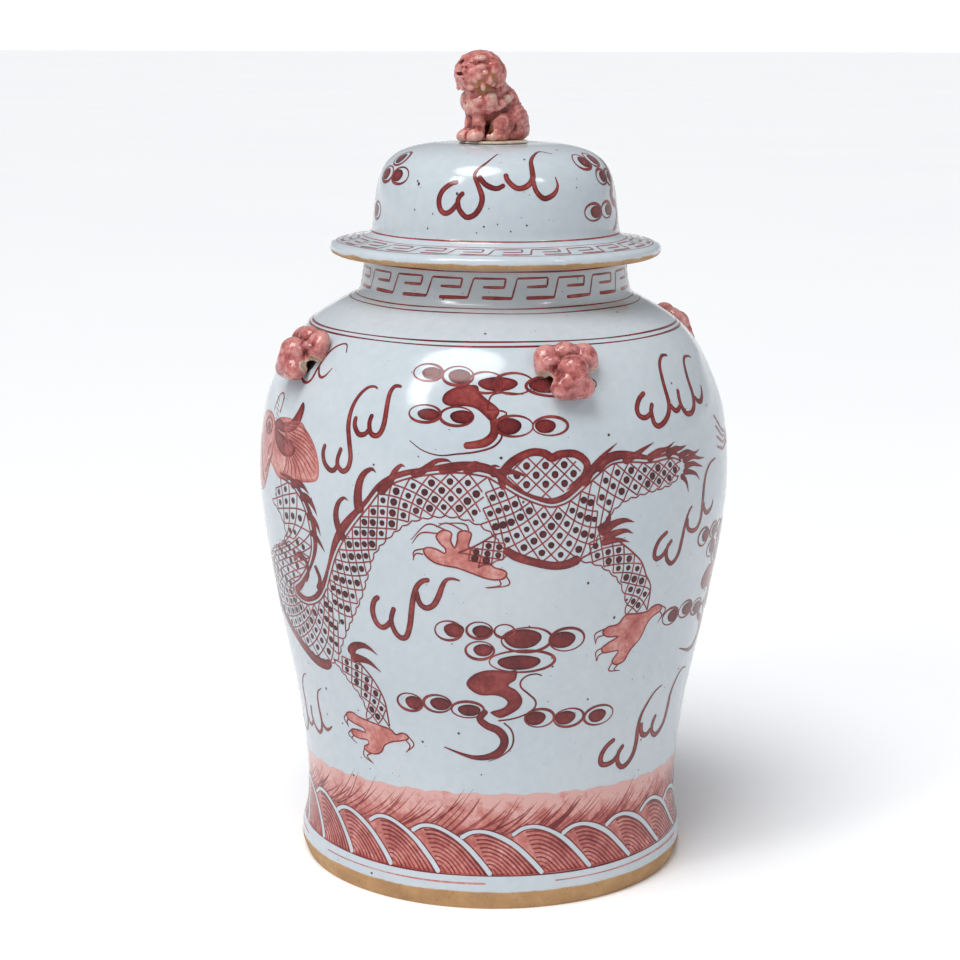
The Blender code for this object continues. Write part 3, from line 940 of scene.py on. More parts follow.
def make_pad():
    """The lion's thin oval plinth."""
    low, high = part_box("finial_pad")
    middle = pad_middle()
    facing = math.radians(LION_FACING)
    verts, faces = [], []
    count = 96
    levels = [(0.0, 0.965), (0.25, 1.0), (0.75, 1.0), (1.0, 0.96)]
    for part, size in levels:
        for k in range(count):
            angle = 2 * math.pi * k / count
            wave = size * (1 + 0.008 * math.sin(5 * angle) + 0.006 * math.sin(11 * angle + 1)) / 1.014
            ahead = PAD_HALF_LENGTH * wave * math.cos(angle)
            left = PAD_HALF_WIDTH * wave * math.sin(angle)
            verts.append((middle.x + (ahead * math.sin(facing) + left * math.cos(facing)) * MM,
                          middle.y + (-ahead * math.cos(facing) + left * math.sin(facing)) * MM,
                          low.z + (high.z - low.z) * part))
    for i in range(len(levels) - 1):
        for k in range(count):
            n = (k + 1) % count
            faces.append((i * count + k, i * count + n, (i + 1) * count + n, (i + 1) * count + k))
    faces.append(tuple(range(count))[::-1])
    faces.append(tuple(range((len(levels) - 1) * count, len(levels) * count)))
    pad = add_mesh("finial_pad_fired", verts, faces, PAD_GLAZE, LID)
    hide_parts("finial_pad")


# ---------------------------------------------------------------- the painting: bands round the jar

def ribbon(brush, points, width, tone=0.62, start=0.85, end=0.35, edge=0.3):
    """A brushed band: rounded where the brush lands, drawn out where it leaves."""
    rows = []
    for i, (azimuth, z) in enumerate(points):
        t = i / (len(points) - 1)
        size = start + (1 - start) * min(1.0, t / 0.3)
        if t > 0.6:
            size *= 1 + (end - 1) * (t - 0.6) / 0.4
        rows.append((azimuth, z, width * size))
    brush.stroke(rows, tone, edge)


def ring_line(brush, z, width, tone=0.6, drift=0.0, gaps=0):
    """A line round the whole jar, with the slight wander of a hand on a wheel."""
    marks, finer = 72, 4
    rows = []
    for k in range(marks):
        azimuth = 5.0 * k
        wander = drift * math.sin(math.radians(azimuth + 40 * z))
        wander += 0.12 * math.sin(math.radians(7 * azimuth + 9 * z))
        size = width * (0.85 + 0.25 * math.sin(math.radians(5 * azimuth + 31 * z)))
        rows.append((azimuth, z + wander, size))
    if gaps:
        for k in range(gaps):
            first = k * marks // gaps
            brush.stroke(rows[first:first + marks // gaps - 2], tone, 0.1)
        return
    s = brush.wall.at_height(np.array([row[1] for row in rows]))
    points, tones, faces = [], [], []
    for k, ((azimuth, _, size), at) in enumerate(zip(rows, s)):
        for lane, value in ((-0.5, 0.15), (0.0, 0.0), (0.5, 0.15)):
            points.append((azimuth, at + lane * size))
            tones.append(tone + value)
    fine_points, fine_tones = [], []
    for k in range(marks):
        for j in range(finer):
            t = j / finer
            for lane in range(3):
                azimuth, s0 = points[3 * k + lane]
                s1 = points[3 * ((k + 1) % marks) + lane][1]
                fine_points.append((azimuth + 5.0 * t, s0 + (s1 - s0) * t))
                fine_tones.append(tones[3 * k + lane])
    count = marks * finer
    for i in range(count):
        j = (i + 1) % count
        for lane in range(2):
            faces.append((3 * i + lane, 3 * i + lane + 1, 3 * j + lane + 1, 3 * j + lane))
    brush.keep(fine_points, fine_tones, faces)


def sheet(brush, low, high, tone, step=1.5, rows=6):
    """Wash between two heights that are functions of azimuth, all round. tone(v) runs from the bottom up."""
    points, tones, faces = [], [], []
    count = int(round(360 / step))
    for k in range(count):
        azimuth = k * step
        s0, s1 = brush.wall.at_height([low(azimuth), high(azimuth)])
        for j in range(rows):
            v = j / (rows - 1)
            points.append((azimuth, s0 + (s1 - s0) * v))
            tones.append(tone(v))
    for k in range(count):
        n = (k + 1) % count
        for j in range(rows - 1):
            faces.append((k * rows + j, n * rows + j, n * rows + j + 1, k * rows + j + 1))
    brush.keep(points, tones, faces)


WAVE_COUNT = 24
WAVE_STEP = 360.0 / WAVE_COUNT
WAVE_FIRST_FOOT = -78.5
WAVE_BOTTOM = 24.0
# A wave's border as seen from its foot: degrees back towards the crest, and height.
WAVE_BORDER = [(0.0, 24.0), (-3.2, 33.0), (-7.6, 43.5), (-12.0, 50.5), (-16.6, 54.6), (-20.6, 54.2),
               (-24.0, 49.6)]


def wave_line(foot, shrink=1.0, stretch=1.0):
    """A curve like a wave's border, shrunk towards the foot of the wave before."""
    rows = []
    for azimuth, z in WAVE_BORDER:
        rows.append((foot - WAVE_STEP + (azimuth + WAVE_STEP) * shrink,
                     WAVE_BOTTOM + (z - WAVE_BOTTOM) * shrink * stretch))
    return rows


def paint_waves(draw):
    """Spray above a row of waves: a wash, fine lines that follow each wave's back, and a pale border."""
    wash, lines, borders, spray, blades = (Brush(BODY_WALL, lift) for lift in (0.11, 0.15, 0.19, 0.06, 0.09))

    def crest(azimuth):
        slow = 2.2 * math.cos(math.radians(2 * azimuth + 60))
        scallop = 1.5 * abs(math.sin(math.radians(azimuth * 19)))
        scallop += 0.8 * abs(math.sin(math.radians(azimuth * 43)))
        return 76.8 + slow + scallop

    sheet(spray, lambda a: 40.0, crest, lambda v: 0.46 - 0.56 * v, step=0.75, rows=7)
    azimuth = -90.0
    while azimuth < 90.0:
        lean = draw.uniform(9.5, 14.5)
        top = crest(azimuth + lean) - draw.uniform(0.5, 12.0)
        if draw.random() < 0.09:
            top = crest(azimuth + lean) + draw.uniform(2.0, 6.0)
        low = draw.uniform(47.0, 53.0)
        size = draw.uniform(0.7, 1.7)
        rows = [(azimuth, low, size), (azimuth + 0.30 * lean, low + 0.22 * (top - low), size),
                (azimuth + 0.68 * lean, low + 0.58 * (top - low), 0.7 * size), (azimuth + lean, top, 0.12)]
        blades.stroke(rows, draw.uniform(0.36, 0.66), 0.1)
        azimuth += draw.uniform(0.9, 2.6)
    for k in range(WAVE_COUNT // 2):
        foot = WAVE_FIRST_FOOT + WAVE_STEP * k
        tall = 1.0 + 0.05 * math.sin(2.3 * k)
        border = wave_line(foot, 1.0, tall)
        before = wave_line(foot - WAVE_STEP)
        back = [(foot - WAVE_STEP - 9.0, 43.0), *before[2:0:-1], (foot - WAVE_STEP, WAVE_BOTTOM)]
        wash.fill(border + back, 0.24, 0.22, rim=1.6, smooth=False, grid=4.0)
        for j in range(9):
            shrink = 0.90 - 0.095 * j
            rows = [(a, z, 1.30 - 0.05 * j) for a, z in wave_line(foot, shrink, tall)]
            rows = [row for row in rows if row[0] > foot - WAVE_STEP - 0.33 * (row[1] - WAVE_BOTTOM)]
            if len(rows) > 2:
                lines.stroke([(a + draw.uniform(-0.15, 0.15), z + 0.3, w) for a, z, w in rows],
                             draw.uniform(0.50, 0.74), 0.08)
        rows = [(a, z, 3.1 if z < 50 else 2.4) for a, z in border]
        lines.stroke([(a, z, w + 1.8) for a, z, w in rows], 0.66, 0.1)
        borders.stroke(rows, 0.0, 0.0)
    for brush in (wash, lines, borders, blades):
        brush.copied_round(PERIOD)
    spray.make("painted_spray", PAINT, JAR, "body_glaze")
    blades.make("painted_spray_blades", PAINT, JAR, "body_glaze")
    wash.make("painted_waves", PAINT, JAR, "body_glaze")
    lines.make("painted_wave_lines", PAINT, JAR, "body_glaze")
    borders.make("wave_borders", BODY_GLAZE, JAR, "body_glaze")


def meander(brush, count, first, heights, unevenness, width):
    """A key fret: bottom bar, upright, top bar, hook and middle bar, run together, `count` times round."""
    bottom, middle, top = heights
    step = 360.0 / count
    w = step / 18.0
    for k in range(count):
        u = first + step * k
        tilt = 0.25 * math.sin(1.9 * k) * unevenness
        bars = [(-13.6, -1.2, bottom + tilt, bottom - tilt, 1.25), (-1.4, 1.0, bottom - tilt, top, 0.6),
                (1.0, 14.2, top, top + tilt, 0.75), (14.2, 13.6, top, middle + tilt, 0.7),
                (13.8, 4.8, middle + tilt, middle, 1.0)]
        for a0, a1, z0, z1, part in bars:
            size = width * part
            brush.stroke([(u + a0 * w, z0, size), (u + (a0 + a1) / 2 * w, (z0 + z1) / 2, size * 1.1),
                          (u + a1 * w, z1, size * 0.8)], 0.40, 0.3)


def flange_height(radius):
    """The height of the flange's top where it has this radius."""
    return float(np.interp(-radius, -LID_WALL.rz[:, 0], LID_WALL.rz[:, 1]))


def paint_bands():
    """The lines round the foot, the shoulder, the neck and the lid, and the two key frets."""
    lines = Brush(BODY_WALL)
    ring_line(lines, 18.6, 1.1, 0.16, 0.25, gaps=5)
    for z, width, tone, drift in ((23.6, 1.1, 0.62, 0.3), (376.6, 1.5, 0.62, 0.55), (378.6, 1.5, 0.66, 0.35),
                                  (393.6, 1.2, 0.56, 0.2), (396.0, 1.2, 0.50, 0.3), (419.0, 1.0, 0.45, 0.2)):
        ring_line(lines, z, width, tone, drift)
    lines.make("painted_lines", PAINT, JAR, "body_glaze")
    fret = Brush(BODY_WALL)
    meander(fret, 20, -82.5, (402.5, 409.4, 415.0), 1.0, 1.75)
    fret.make("painted_neck_fret", PAINT, JAR, "body_glaze")
    lid = Brush(LID_WALL)
    ring_line(lid, 437.9, 2.2, 0.40, 0.1)
    ring_line(lid, flange_height(107.6), 0.9, 0.45)
    ring_line(lid, flange_height(90.0), 0.8, 0.35)
    meander(lid, 24, -80.0, tuple(flange_height(r) for r in (104.6, 99.0, 93.4)), 0.0, 1.9)
    lid.make("painted_lid_bands", PAINT, LID, "lid_glaze")


# ---------------------------------------------------------------- the painting: scrolls

# Each scroll is a few brushed bands: how much of the width is left at the band's end, then its points.
SCROLLS = [
    (3.5, [
        (0.9, [(-61.5, 311), (-62, 305), (-61.3, 299), (-59.5, 295), (-58, 295.5), (-57, 299.5)]),
        (0.3, [(-56.3, 310.5), (-57.2, 303), (-57, 298.5), (-55.5, 295.5), (-54, 298), (-53.4, 305),
               (-54.2, 315), (-55.1, 325), (-55.1, 335), (-54, 343), (-52, 348.5), (-50, 349.8),
               (-48.9, 348.6)]),
        (0.8, [(-53.3, 331), (-53.3, 326), (-52.3, 321.5), (-51.2, 320), (-49.8, 321.2), (-48.8, 325)]),
        (0.5, [(-48.8, 333.5), (-49.2, 328), (-48.5, 322), (-47, 320.5), (-45.8, 323), (-45.2, 330),
               (-45.3, 345), (-44.5, 350.5), (-43.3, 351.5), (-42.3, 351)]),
    ]),
    (4.0, [
        (0.9, [(-46.5, 215.5), (-48, 212), (-48.8, 205), (-48.3, 198), (-47, 194.3), (-45.5, 195),
               (-43.6, 200)]),
        (0.8, [(-42.7, 209.5), (-43.8, 200), (-43, 192), (-41.5, 188.5), (-40, 190), (-38.9, 198),
               (-38.3, 207), (-37.6, 217), (-36.6, 225), (-35, 229.5), (-33.3, 230.5)]),
        (0.25, [(-36.8, 223), (-36.2, 215), (-35.2, 211.8), (-34, 211.3), (-32.5, 214), (-31.3, 220),
                (-30.5, 226), (-29.5, 231), (-28, 232.3), (-26.2, 231.2)]),
    ]),
    (3.4, [
        (0.9, [(26, 254.5), (23.5, 250), (22.3, 244), (22.3, 239), (23.3, 237), (25, 238.5), (26.4, 243)]),
        (0.4, [(28, 248), (26.4, 243), (26.6, 236), (28.3, 231.5), (30, 233), (31.2, 238), (31.8, 246),
               (32.3, 254), (33, 261), (34, 265.5), (35, 267.5)]),
        (0.25, [(33.2, 260), (33.6, 254), (34.8, 251), (36.5, 249.8), (38.3, 251), (39.5, 256), (39.8, 263),
                (40, 272), (40.5, 280), (41.8, 287), (44, 291.5), (46.5, 293), (48, 293.3)]),
        (0.35, [(40.3, 267), (41, 262.5), (42.5, 259), (44.3, 259.5), (45.8, 262.5), (46, 266)]),
    ]),
    (3.6, [
        (0.9, [(21.8, 345.5), (19.5, 342), (18, 336.5), (18.3, 332), (20, 330.3), (22.2, 332.5)]),
        (0.5, [(23.4, 338.5), (22.3, 334), (22.3, 328), (22.8, 325), (24, 324), (26, 326), (28, 330.5),
               (29.2, 337), (29.5, 349), (30.3, 358), (31.8, 362.5), (34, 365), (36.3, 364.5)]),
        (0.8, [(29.5, 336), (30.3, 332.5), (31.7, 331.3), (33.6, 334)]),
        (0.3, [(34.5, 344), (33.8, 338), (33.9, 333), (34.7, 329), (36, 327.5), (38, 328.3), (39.8, 332.5),
               (40.8, 339), (41, 346), (41.5, 352), (42.8, 358), (45, 361), (48, 360.5), (49, 359)]),
        (0.3, [(41, 337), (42.3, 333.5), (44, 333), (46, 336.5), (47.5, 342)]),
    ]),
    (4.0, [
        (0.9, [(18.3, 111.5), (15.5, 107), (14, 101), (14.2, 95.5), (16, 93.8), (18.5, 95), (20.3, 99)]),
        (0.25, [(22, 105.5), (20.3, 100), (20.3, 94), (21.5, 90), (23, 89), (25, 91.5), (26.6, 97),
                (27.2, 105), (27, 115), (27.6, 124), (29.5, 132), (32, 138.5), (35, 141.5)]),
        (0.8, [(28.2, 118), (28.8, 111), (30, 108), (31.8, 107.5), (33.6, 111)]),
        (0.25, [(35, 120), (33.9, 114), (34.2, 108), (36, 104.5), (37.5, 104.7), (39.5, 107.5), (41, 113),
                (41.5, 122), (41.5, 130), (42.5, 137), (44.5, 143), (47, 146), (49.8, 144.8)]),
    ]),
    (2.8, [
        (0.9, [(-102, 107), (-104, 101), (-103.5, 95), (-101.5, 93.5), (-99.3, 98)]),
        (0.25, [(-98, 105), (-98.6, 98), (-97, 92.5), (-94.5, 92), (-91.5, 95), (-89.5, 103), (-89, 115),
                (-88.6, 126), (-87, 133), (-84.5, 138.5), (-82, 141)]),
        (0.8, [(-89, 106), (-87.5, 101.5), (-85.5, 101.5), (-83.8, 105)]),
        (0.25, [(-83.5, 117), (-84, 110), (-83, 104), (-81, 100.5), (-79.5, 100), (-77.8, 103), (-77, 110),
                (-77.3, 120), (-77, 127), (-75.8, 132.5), (-73.5, 136)]),
        (0.3, [(-77, 110), (-76, 107), (-74.5, 105.5), (-73, 106.5), (-71, 110)]),
    ]),
    (1.9, [
        (0.4, [(-83.5, 364), (-81, 356), (-78, 348), (-76, 345.3), (-74, 345.5), (-72.7, 348.5), (-72, 355),
               (-71, 363), (-69.5, 368.5), (-67, 371.5), (-65, 371.3), (-63.5, 367)]),
        (0.3, [(-71.8, 357), (-70.5, 352), (-69, 350.3), (-67.5, 352), (-66, 357)]),
    ]),
]
LID_SCROLL = (3.6, [
    (0.9, [(-36.5, 475.8), (-40, 474.5), (-44, 470), (-45.5, 464), (-44.5, 458), (-42, 455.5), (-39, 457.5),
           (-35.8, 463)]),
    (0.25, [(-33.5, 469.5), (-36, 465), (-35.5, 459), (-33, 454.5), (-31, 453.5), (-28, 455.5), (-25.5, 461),
            (-25, 467), (-27, 474), (-29, 480), (-27.5, 484), (-23.5, 488), (-17.5, 493)]),
    (0.8, [(-27, 480), (-26, 478), (-24, 475), (-21.5, 473), (-18, 472), (-14.5, 474.5)]),
    (0.2, [(-14, 481.5), (-13.5, 478), (-11, 474), (-8, 472), (-4, 473.5), (-1, 478), (-0.5, 484), (0.5, 489),
           (5, 492.5), (11, 494), (17.5, 492.5)]),
    (0.2, [(-1, 478), (0, 471), (2.5, 466.5), (5, 465.5), (9, 468), (11.5, 473), (11, 479)]),
])


def paint_scroll(brush, scroll):
    width, bands = scroll
    for end, points in bands:
        ribbon(brush, points, width, tone=0.56, end=end, edge=0.42)


def paint_scrolls():
    brush = Brush(BODY_WALL, 0.13)
    for scroll in SCROLLS:
        paint_scroll(brush, scroll)
    brush.copied_round(PERIOD)
    brush.make("painted_scrolls", PAINT, JAR, "body_glaze")


# ---------------------------------------------------------------- the painting: clouds

def cloud_ring(brush, azimuth, z, wide, high, pupil, line=1.0):
    """An oval outline with a dark drop in it. wide is in degrees and high in mm, both from the middle."""
    rows = []
    for k in range(16):
        angle = k * math.pi / 8
        size = line * (1.5 + 0.6 * math.sin(angle + azimuth))
        rows.append((azimuth + wide * math.cos(angle), z + high * math.sin(angle), size))
    brush.stroke(rows, 0.60, 0.2, closed=True)
    if pupil:
        drop(brush, *pupil)


def drop(brush, azimuth, z, wide, high, tone=0.74):
    """A filled oval of pooled colour, in degrees and mm from its middle."""
    points = []
    for k in range(12):
        angle = k * math.pi / 6
        uneven = 1 + 0.05 * math.sin(3 * angle)
        points.append((azimuth + wide * math.cos(angle) * uneven, z + high * math.sin(angle)))
    brush.fill(points, tone, 0.25, rim=2.2, grid=3.5)


def paint_clouds():
    """Clouds drawn as strings of ringed drops round a dark S, above and below the dragon."""
    brush = Brush(BODY_WALL)
    upper_cloud(brush)
    lower_cloud(brush, 0.0, 0.0, 1.0)
    lower_cloud(brush, 70.0, 49.0, 0.93)
    brush.copied_round(PERIOD)
    brush.make("painted_clouds", PAINT, JAR, "body_glaze")


# Rings of a cloud: the middle, half the width in degrees, half the height in mm, then the same for the drop
# in it, if any. The lid's rings end in how far the drop lies from the middle.
UPPER_RINGS = [
    (-36, 360.5, 3.9, 5.0, (-35.0, 360.2, 2.6, 3.6)), (-28, 359.3, 4.0, 5.5, (-27.6, 359.0, 2.9, 4.2)),
    (-20.8, 355.8, 4.6, 6.2, None), (-13.8, 355.2, 5.0, 6.2, (-17.8, 355.0, 5.0, 4.2)),
    (-1.5, 353.6, 9.3, 6.5, (-5.5, 353.8, 4.6, 4.4)), (-35.3, 336.3, 3.9, 5.2, (-34.4, 336.0, 2.7, 3.5)),
    (-27.5, 335.5, 4.0, 5.6, (-26.2, 335.3, 2.9, 4.0)), (-14, 330.2, 4.4, 6.2, (-15.2, 330.1, 2.9, 5.0)),
    (-5.5, 329.8, 4.2, 5.6, (-6.7, 329.8, 2.5, 4.2)),
]
LOWER_RINGS = [
    (-29.3, 196.5, 3.3, 6.7, (-27.9, 197, 2.5, 5.0)), (-21.8, 197.5, 3.1, 5.8, (-21.2, 196.8, 2.3, 4.4)),
    (-15.8, 197.2, 2.4, 4.6, None), (-10.3, 190.8, 6.2, 8.6, (-11.3, 191.6, 4.6, 6.8)),
    (-0.2, 189.5, 4.5, 8.0, (-1.4, 189.5, 3.4, 5.8)), (-21.7, 183.5, 3.5, 6.3, (-20.9, 183.8, 2.4, 4.4)),
    (-11.2, 175.8, 8.2, 7.6, (-12.0, 175.0, 5.4, 5.2)), (-40.7, 143, 3.6, 6.3, (-39.6, 143, 2.4, 4.8)),
    (-33, 144, 3.8, 6.2, (-32.2, 144, 2.8, 4.6)), (-25, 141, 4.3, 5.8, (-24.6, 140.6, 3.0, 4.2)),
    (-5.9, 134.5, 4.0, 6.5, (-7.0, 134.5, 2.8, 5.0)), (2.4, 133, 4.3, 6.6, (1.3, 133.2, 3.0, 5.0)),
    (11.5, 131.8, 4.6, 7.0, (11.0, 131.6, 2.8, 4.8)),
]
LID_RINGS = [
    (34, 487, 6.5, 4.6, 1.5), (46, 487.8, 5.6, 4.2, 1.0), (45, 477, 5.6, 5.0, 1.2),
    (55, 476, 5.8, 5.4, 1.0), (32.5, 455, 6.4, 5.6, 1.6), (44.5, 455.5, 5.6, 5.4, 1.5),
    (107, 477.5, 6.8, 5.4, -2.0), (93.5, 477.5, 6.4, 5.2, -1.0), (98, 487.8, 6.4, 4.2, -0.5),
    (88, 453, 5.4, 5.8, -1.0),
]


def upper_cloud(brush):
    for ring in UPPER_RINGS:
        cloud_ring(brush, *ring)
    brush.fill([(-31.4, 345), (-30.8, 349), (-28.6, 352.4), (-25.6, 354), (-23.0, 354.0), (-22.2, 350),
                (-20.4, 346), (-18.4, 342.5), (-17.4, 339.3), (-18.0, 335.5), (-19.6, 333.5), (-20.8, 336),
                (-22.8, 340.0), (-25.4, 341.6), (-28.6, 341.2), (-30.6, 342.4)], 0.56, 0.30, rim=2.6)
    ribbon(brush, [(-19.4, 338), (-18.6, 331), (-18.8, 325), (-20.6, 320.5), (-23.0, 318.8), (-25.6, 318.0)],
           5.6, tone=0.56, start=0.8, end=0.75)
    ribbon(brush, [(-20.3, 340), (-20.0, 345), (-19, 348.8), (-16, 350), (-11.5, 349)], 1.1, end=0.6)
    ribbon(brush, [(-20.5, 340), (-16.5, 339), (-15.8, 337), (-17.8, 334), (-17.0, 329), (-17, 323),
                   (-19, 317.5), (-23, 314.3), (-27, 312.8), (-31, 311.5), (-35, 314),
                   (-38.3, 319.5)], 1.3, end=0.4)


def lower_cloud(brush, turn, rise, size):
    """The lower cloud, turned and raised and made this much smaller about its own middle."""
    def at(points):
        return [(turn + a * size, 150 + rise + (z - 150) * size, *rest) for a, z, *rest in points]

    for azimuth, z, wide, high, pupil in LOWER_RINGS:
        if pupil:
            a, h, w, t = pupil
            pupil = (*at([(a, h)])[0], w * size, t * size)
        cloud_ring(brush, *at([(azimuth, z)])[0], wide * size, high * size, pupil)
    brush.fill(at([(-25.2, 160), (-23.5, 166), (-20.5, 169.4), (-17.5, 169.8), (-15, 169), (-12.6, 169.5),
                   (-12.7, 163), (-14.5, 159), (-12.5, 155.5), (-10.8, 149), (-11.3, 143), (-13.5, 138.5),
                   (-16.5, 135.5), (-19, 139.0), (-18.5, 140.4), (-15.8, 142.6), (-14.6, 146.5),
                   (-15.8, 150), (-18, 151.8), (-21.5, 151.8), (-24, 155)]), 0.60, 0.25, rim=2.4)
    ribbon(brush, at([(-20, 141), (-21.8, 135), (-20, 130), (-17, 126.5), (-15.3, 121), (-15.4, 115),
                      (-17, 110), (-20, 107), (-23.5, 106.6), (-27, 108.8),
                      (-31.8, 113)]), 5.6 * size, tone=0.68,
           start=0.75,
           end=0.15)
    ribbon(brush, at([(-15.5, 132), (-13.5, 127), (-12.7, 120), (-13.5, 113), (-16.5, 107), (-19.5, 104)]),
           1.2)
    ribbon(brush, at([(-17, 133.5), (-14, 134.3), (-11, 136.3), (-8.5, 139.5), (-7.2, 143.5), (-7.5, 148),
                      (-9.5, 153), (-11.3, 157.5), (-11.3, 162), (-9.8, 165.5), (-7.5, 166.5), (-6, 165)]),
           1.3,
           end=0.7)


def paint_lid():
    """The lid's scrolls and clouds, the same on both sides."""
    scrolls = Brush(LID_WALL)
    paint_scroll(scrolls, LID_SCROLL)
    scrolls.copied_round(PERIOD)
    scrolls.make("painted_lid_scrolls", PAINT, LID, "lid_glaze")
    clouds = Brush(LID_WALL)
    for turn in (0.0, PERIOD):
        for azimuth, z, wide, high, shift in LID_RINGS:
            cloud_ring(clouds, azimuth + turn, z, wide, high,
                       (azimuth + turn + shift, z, wide * 0.62, high * 0.72), 1.1)
        ribbon(clouds, [(azimuth + turn, z) for azimuth, z in (
            (63, 488), (56, 470), (52, 465), (54, 460), (59, 457), (60, 450), (56, 444), (50, 440.5))], 5.5,
               tone=0.62, end=0.4)
    clouds.make("painted_lid_clouds", PAINT, LID, "lid_glaze")


# ---------------------------------------------------------------- the painting: the dragon

# The hide, in stretches: how many meshes of the net lie across it, then its edges side by side,
# as (azimuth, height) on the back and (azimuth, height) on the belly.
NECK_HIDE = (2.0, [
    (-79.5, 281, -85, 263), (-74, 279, -80.5, 257), (-70, 272, -78, 247), (-67.5, 262, -78.5, 240),
    (-66.5, 250, -82, 233),
])
LOOP_HIDE = (3.0, [
    (-66.5, 250, -82, 233), (-67, 238, -89, 226), (-69.5, 226, -96, 215), (-74, 214.5, -99, 200),
    (-77.5, 209, -97, 187), (-78.3, 204, -91, 177), (-77, 199, -84, 170), (-73, 197, -78, 165),
    (-69, 199.5, -71, 161), (-65.5, 205, -64, 162), (-62.5, 215, -59.6, 180),
])
FRONT_HIDE = (2.5, [
    (-62.5, 215, -59.6, 180), (-60.5, 226, -54.8, 200), (-58.5, 237, -51.8, 214), (-56, 248, -49.3, 230),
    (-52, 262, -47, 245), (-48, 275, -42.5, 258.5), (-44, 288, -38, 268), (-38, 296, -34, 272),
    (-30, 300.5, -29, 274), (-25, 301, -25, 272.5), (-20, 299, -21.5, 269),
])
REAR_HIDE = (3.0, [
    (-20, 299, -21.5, 269), (-16.5, 293, -18.2, 262), (-13, 287, -15.5, 252), (-9, 282, -10, 246),
    (-5.5, 279.5, -5, 242), (-2, 282, 0.5, 243), (1, 288, 4.4, 252), (4, 295, 6.0, 265),
])
TAIL_HIDE = (2.0, [
    (4, 295, 6.0, 265), (7, 301, 8.5, 273), (10, 304.5, 12, 280), (15, 303.8, 17, 283),
    (20, 302, 21, 284.4), (27, 302.5, 26, 286), (30.5, 299, 29.2, 290),
])
TRUNK = (NECK_HIDE, LOOP_HIDE, FRONT_HIDE, REAR_HIDE, TAIL_HIDE)
FRONT_LEG = (2.0, [
    (-57.5, 171, -64.5, 163), (-54, 163, -61.5, 155.5), (-51.5, 156, -59, 149), (-49.5, 148, -56.5, 142),
    (-48.3, 140, -55, 135), (-48, 132, -54.7, 129), (-47.7, 121.5, -55.2, 124),
])
HIND_LEG = (2.0, [
    (5.5, 265, 1.5, 244), (10.5, 255, 6, 240), (15, 245.5, 9.5, 234), (18.3, 237, 12.3, 227),
    (20.3, 227, 14.2, 218), (22.3, 218, 15.4, 210), (22.3, 202, 15.6, 201.5),
])
FAR_SHANK = (2.0, [(-18, 263, -14, 250), (-22.5, 255, -18, 243.5), (-26.5, 250, -22, 240)])
HUMP = [(-15.5, 293), (-15.6, 300), (-13.5, 308), (-10.5, 312), (-7.5, 311.5), (-5.5, 308.5), (-3.5, 310.5),
        (-0.5, 309.5), (1.5, 304.5), (0.8, 297), (-1.5, 291.0), (-5.5, 284.5), (-9.5, 286.5), (-12.5, 290.5)]


def hide(net, dots, stretch, mesh=10.6):
    """A stretch of scaly hide: a net of slanting lines with a dark dot in each mesh."""
    across, pairs = stretch
    rows = catmull(pairs, 1.5)
    back, belly = rows[:, :2], rows[:, 2:]
    run = distance_along((back + belly) / 2 * (DEGREE, 1.0))
    length = run[-1]
    cell = length / max(1.0, round(length / mesh))

    def at(u, v):
        a, z = ([float(np.interp(u, run, side[:, i])) for i in (0, 1)] for side in (back, belly))
        return (a[0] + (z[0] - a[0]) * v, a[1] + (z[1] - a[1]) * v)

    count = int(length / cell + across) + 2
    for k in range(-count, count):
        for sign in (1, -1):
            line = []
            for j in range(13):
                v = j / 12
                u = cell * (k + sign * across * v)
                if -0.01 <= u <= length + 0.01:
                    line.append((*at(u, v), 1.0))
            if len(line) > 3:
                net.stroke(line, 0.52, 0.1, spacing=2.5)
    rows_across = int(2 * across)
    for i in range(1, rows_across):
        v = i / rows_across
        k = 0.5 * ((i + 1) % 2)
        while k * cell < length:
            if k * cell > 1.5:
                a, z = at(k * cell, v)
                size = 2.1 + 0.3 * math.sin(3.7 * k + 2.1 * i)
                drop(dots, a, z, size / DEGREE, size * 1.05, 0.9)
            k += 1.0
    net.stroke([(a, z, 1.2) for a, z in back[::2]], 0.55, 0.15)
    scallop_edge(net, belly)


def scallop_edge(net, edge, plate=7.0, bow=1.3):
    """The belly's plates: a row of shallow bows along the edge, sizes in mm."""
    run = distance_along(edge * (DEGREE, 1.0))
    count = max(2, int(run[-1] / plate))
    for i in range(count):
        u0, u1 = run[-1] * i / count, run[-1] * (i + 1) / count
        rows = []
        for j in range(5):
            u = u0 + (u1 - u0) * j / 4
            a, z = (float(np.interp(u, run, edge[:, c])) for c in (0, 1))
            da = float(np.interp(u + 1, run, edge[:, 0]) - np.interp(u - 1, run, edge[:, 0])) * DEGREE
            dz = float(np.interp(u + 1, run, edge[:, 1]) - np.interp(u - 1, run, edge[:, 1]))
            size = math.hypot(da, dz) or 1.0
            out = bow * math.sin(math.pi * j / 4)
            rows.append((a + out * dz / size / DEGREE, z - out * da / size, 0.9))
        net.stroke(rows, 0.55, 0.15)


def tongue(brush, points, width, tone=0.66):
    """A lick of flame, wide at its root and drawn out to a point."""
    rows = []
    for i, (azimuth, z) in enumerate(points):
        t = i / (len(points) - 1)
        rows.append((azimuth, z, max(0.25, width * (1 - t) ** 0.75)))
    brush.stroke(rows, tone, 0.18)


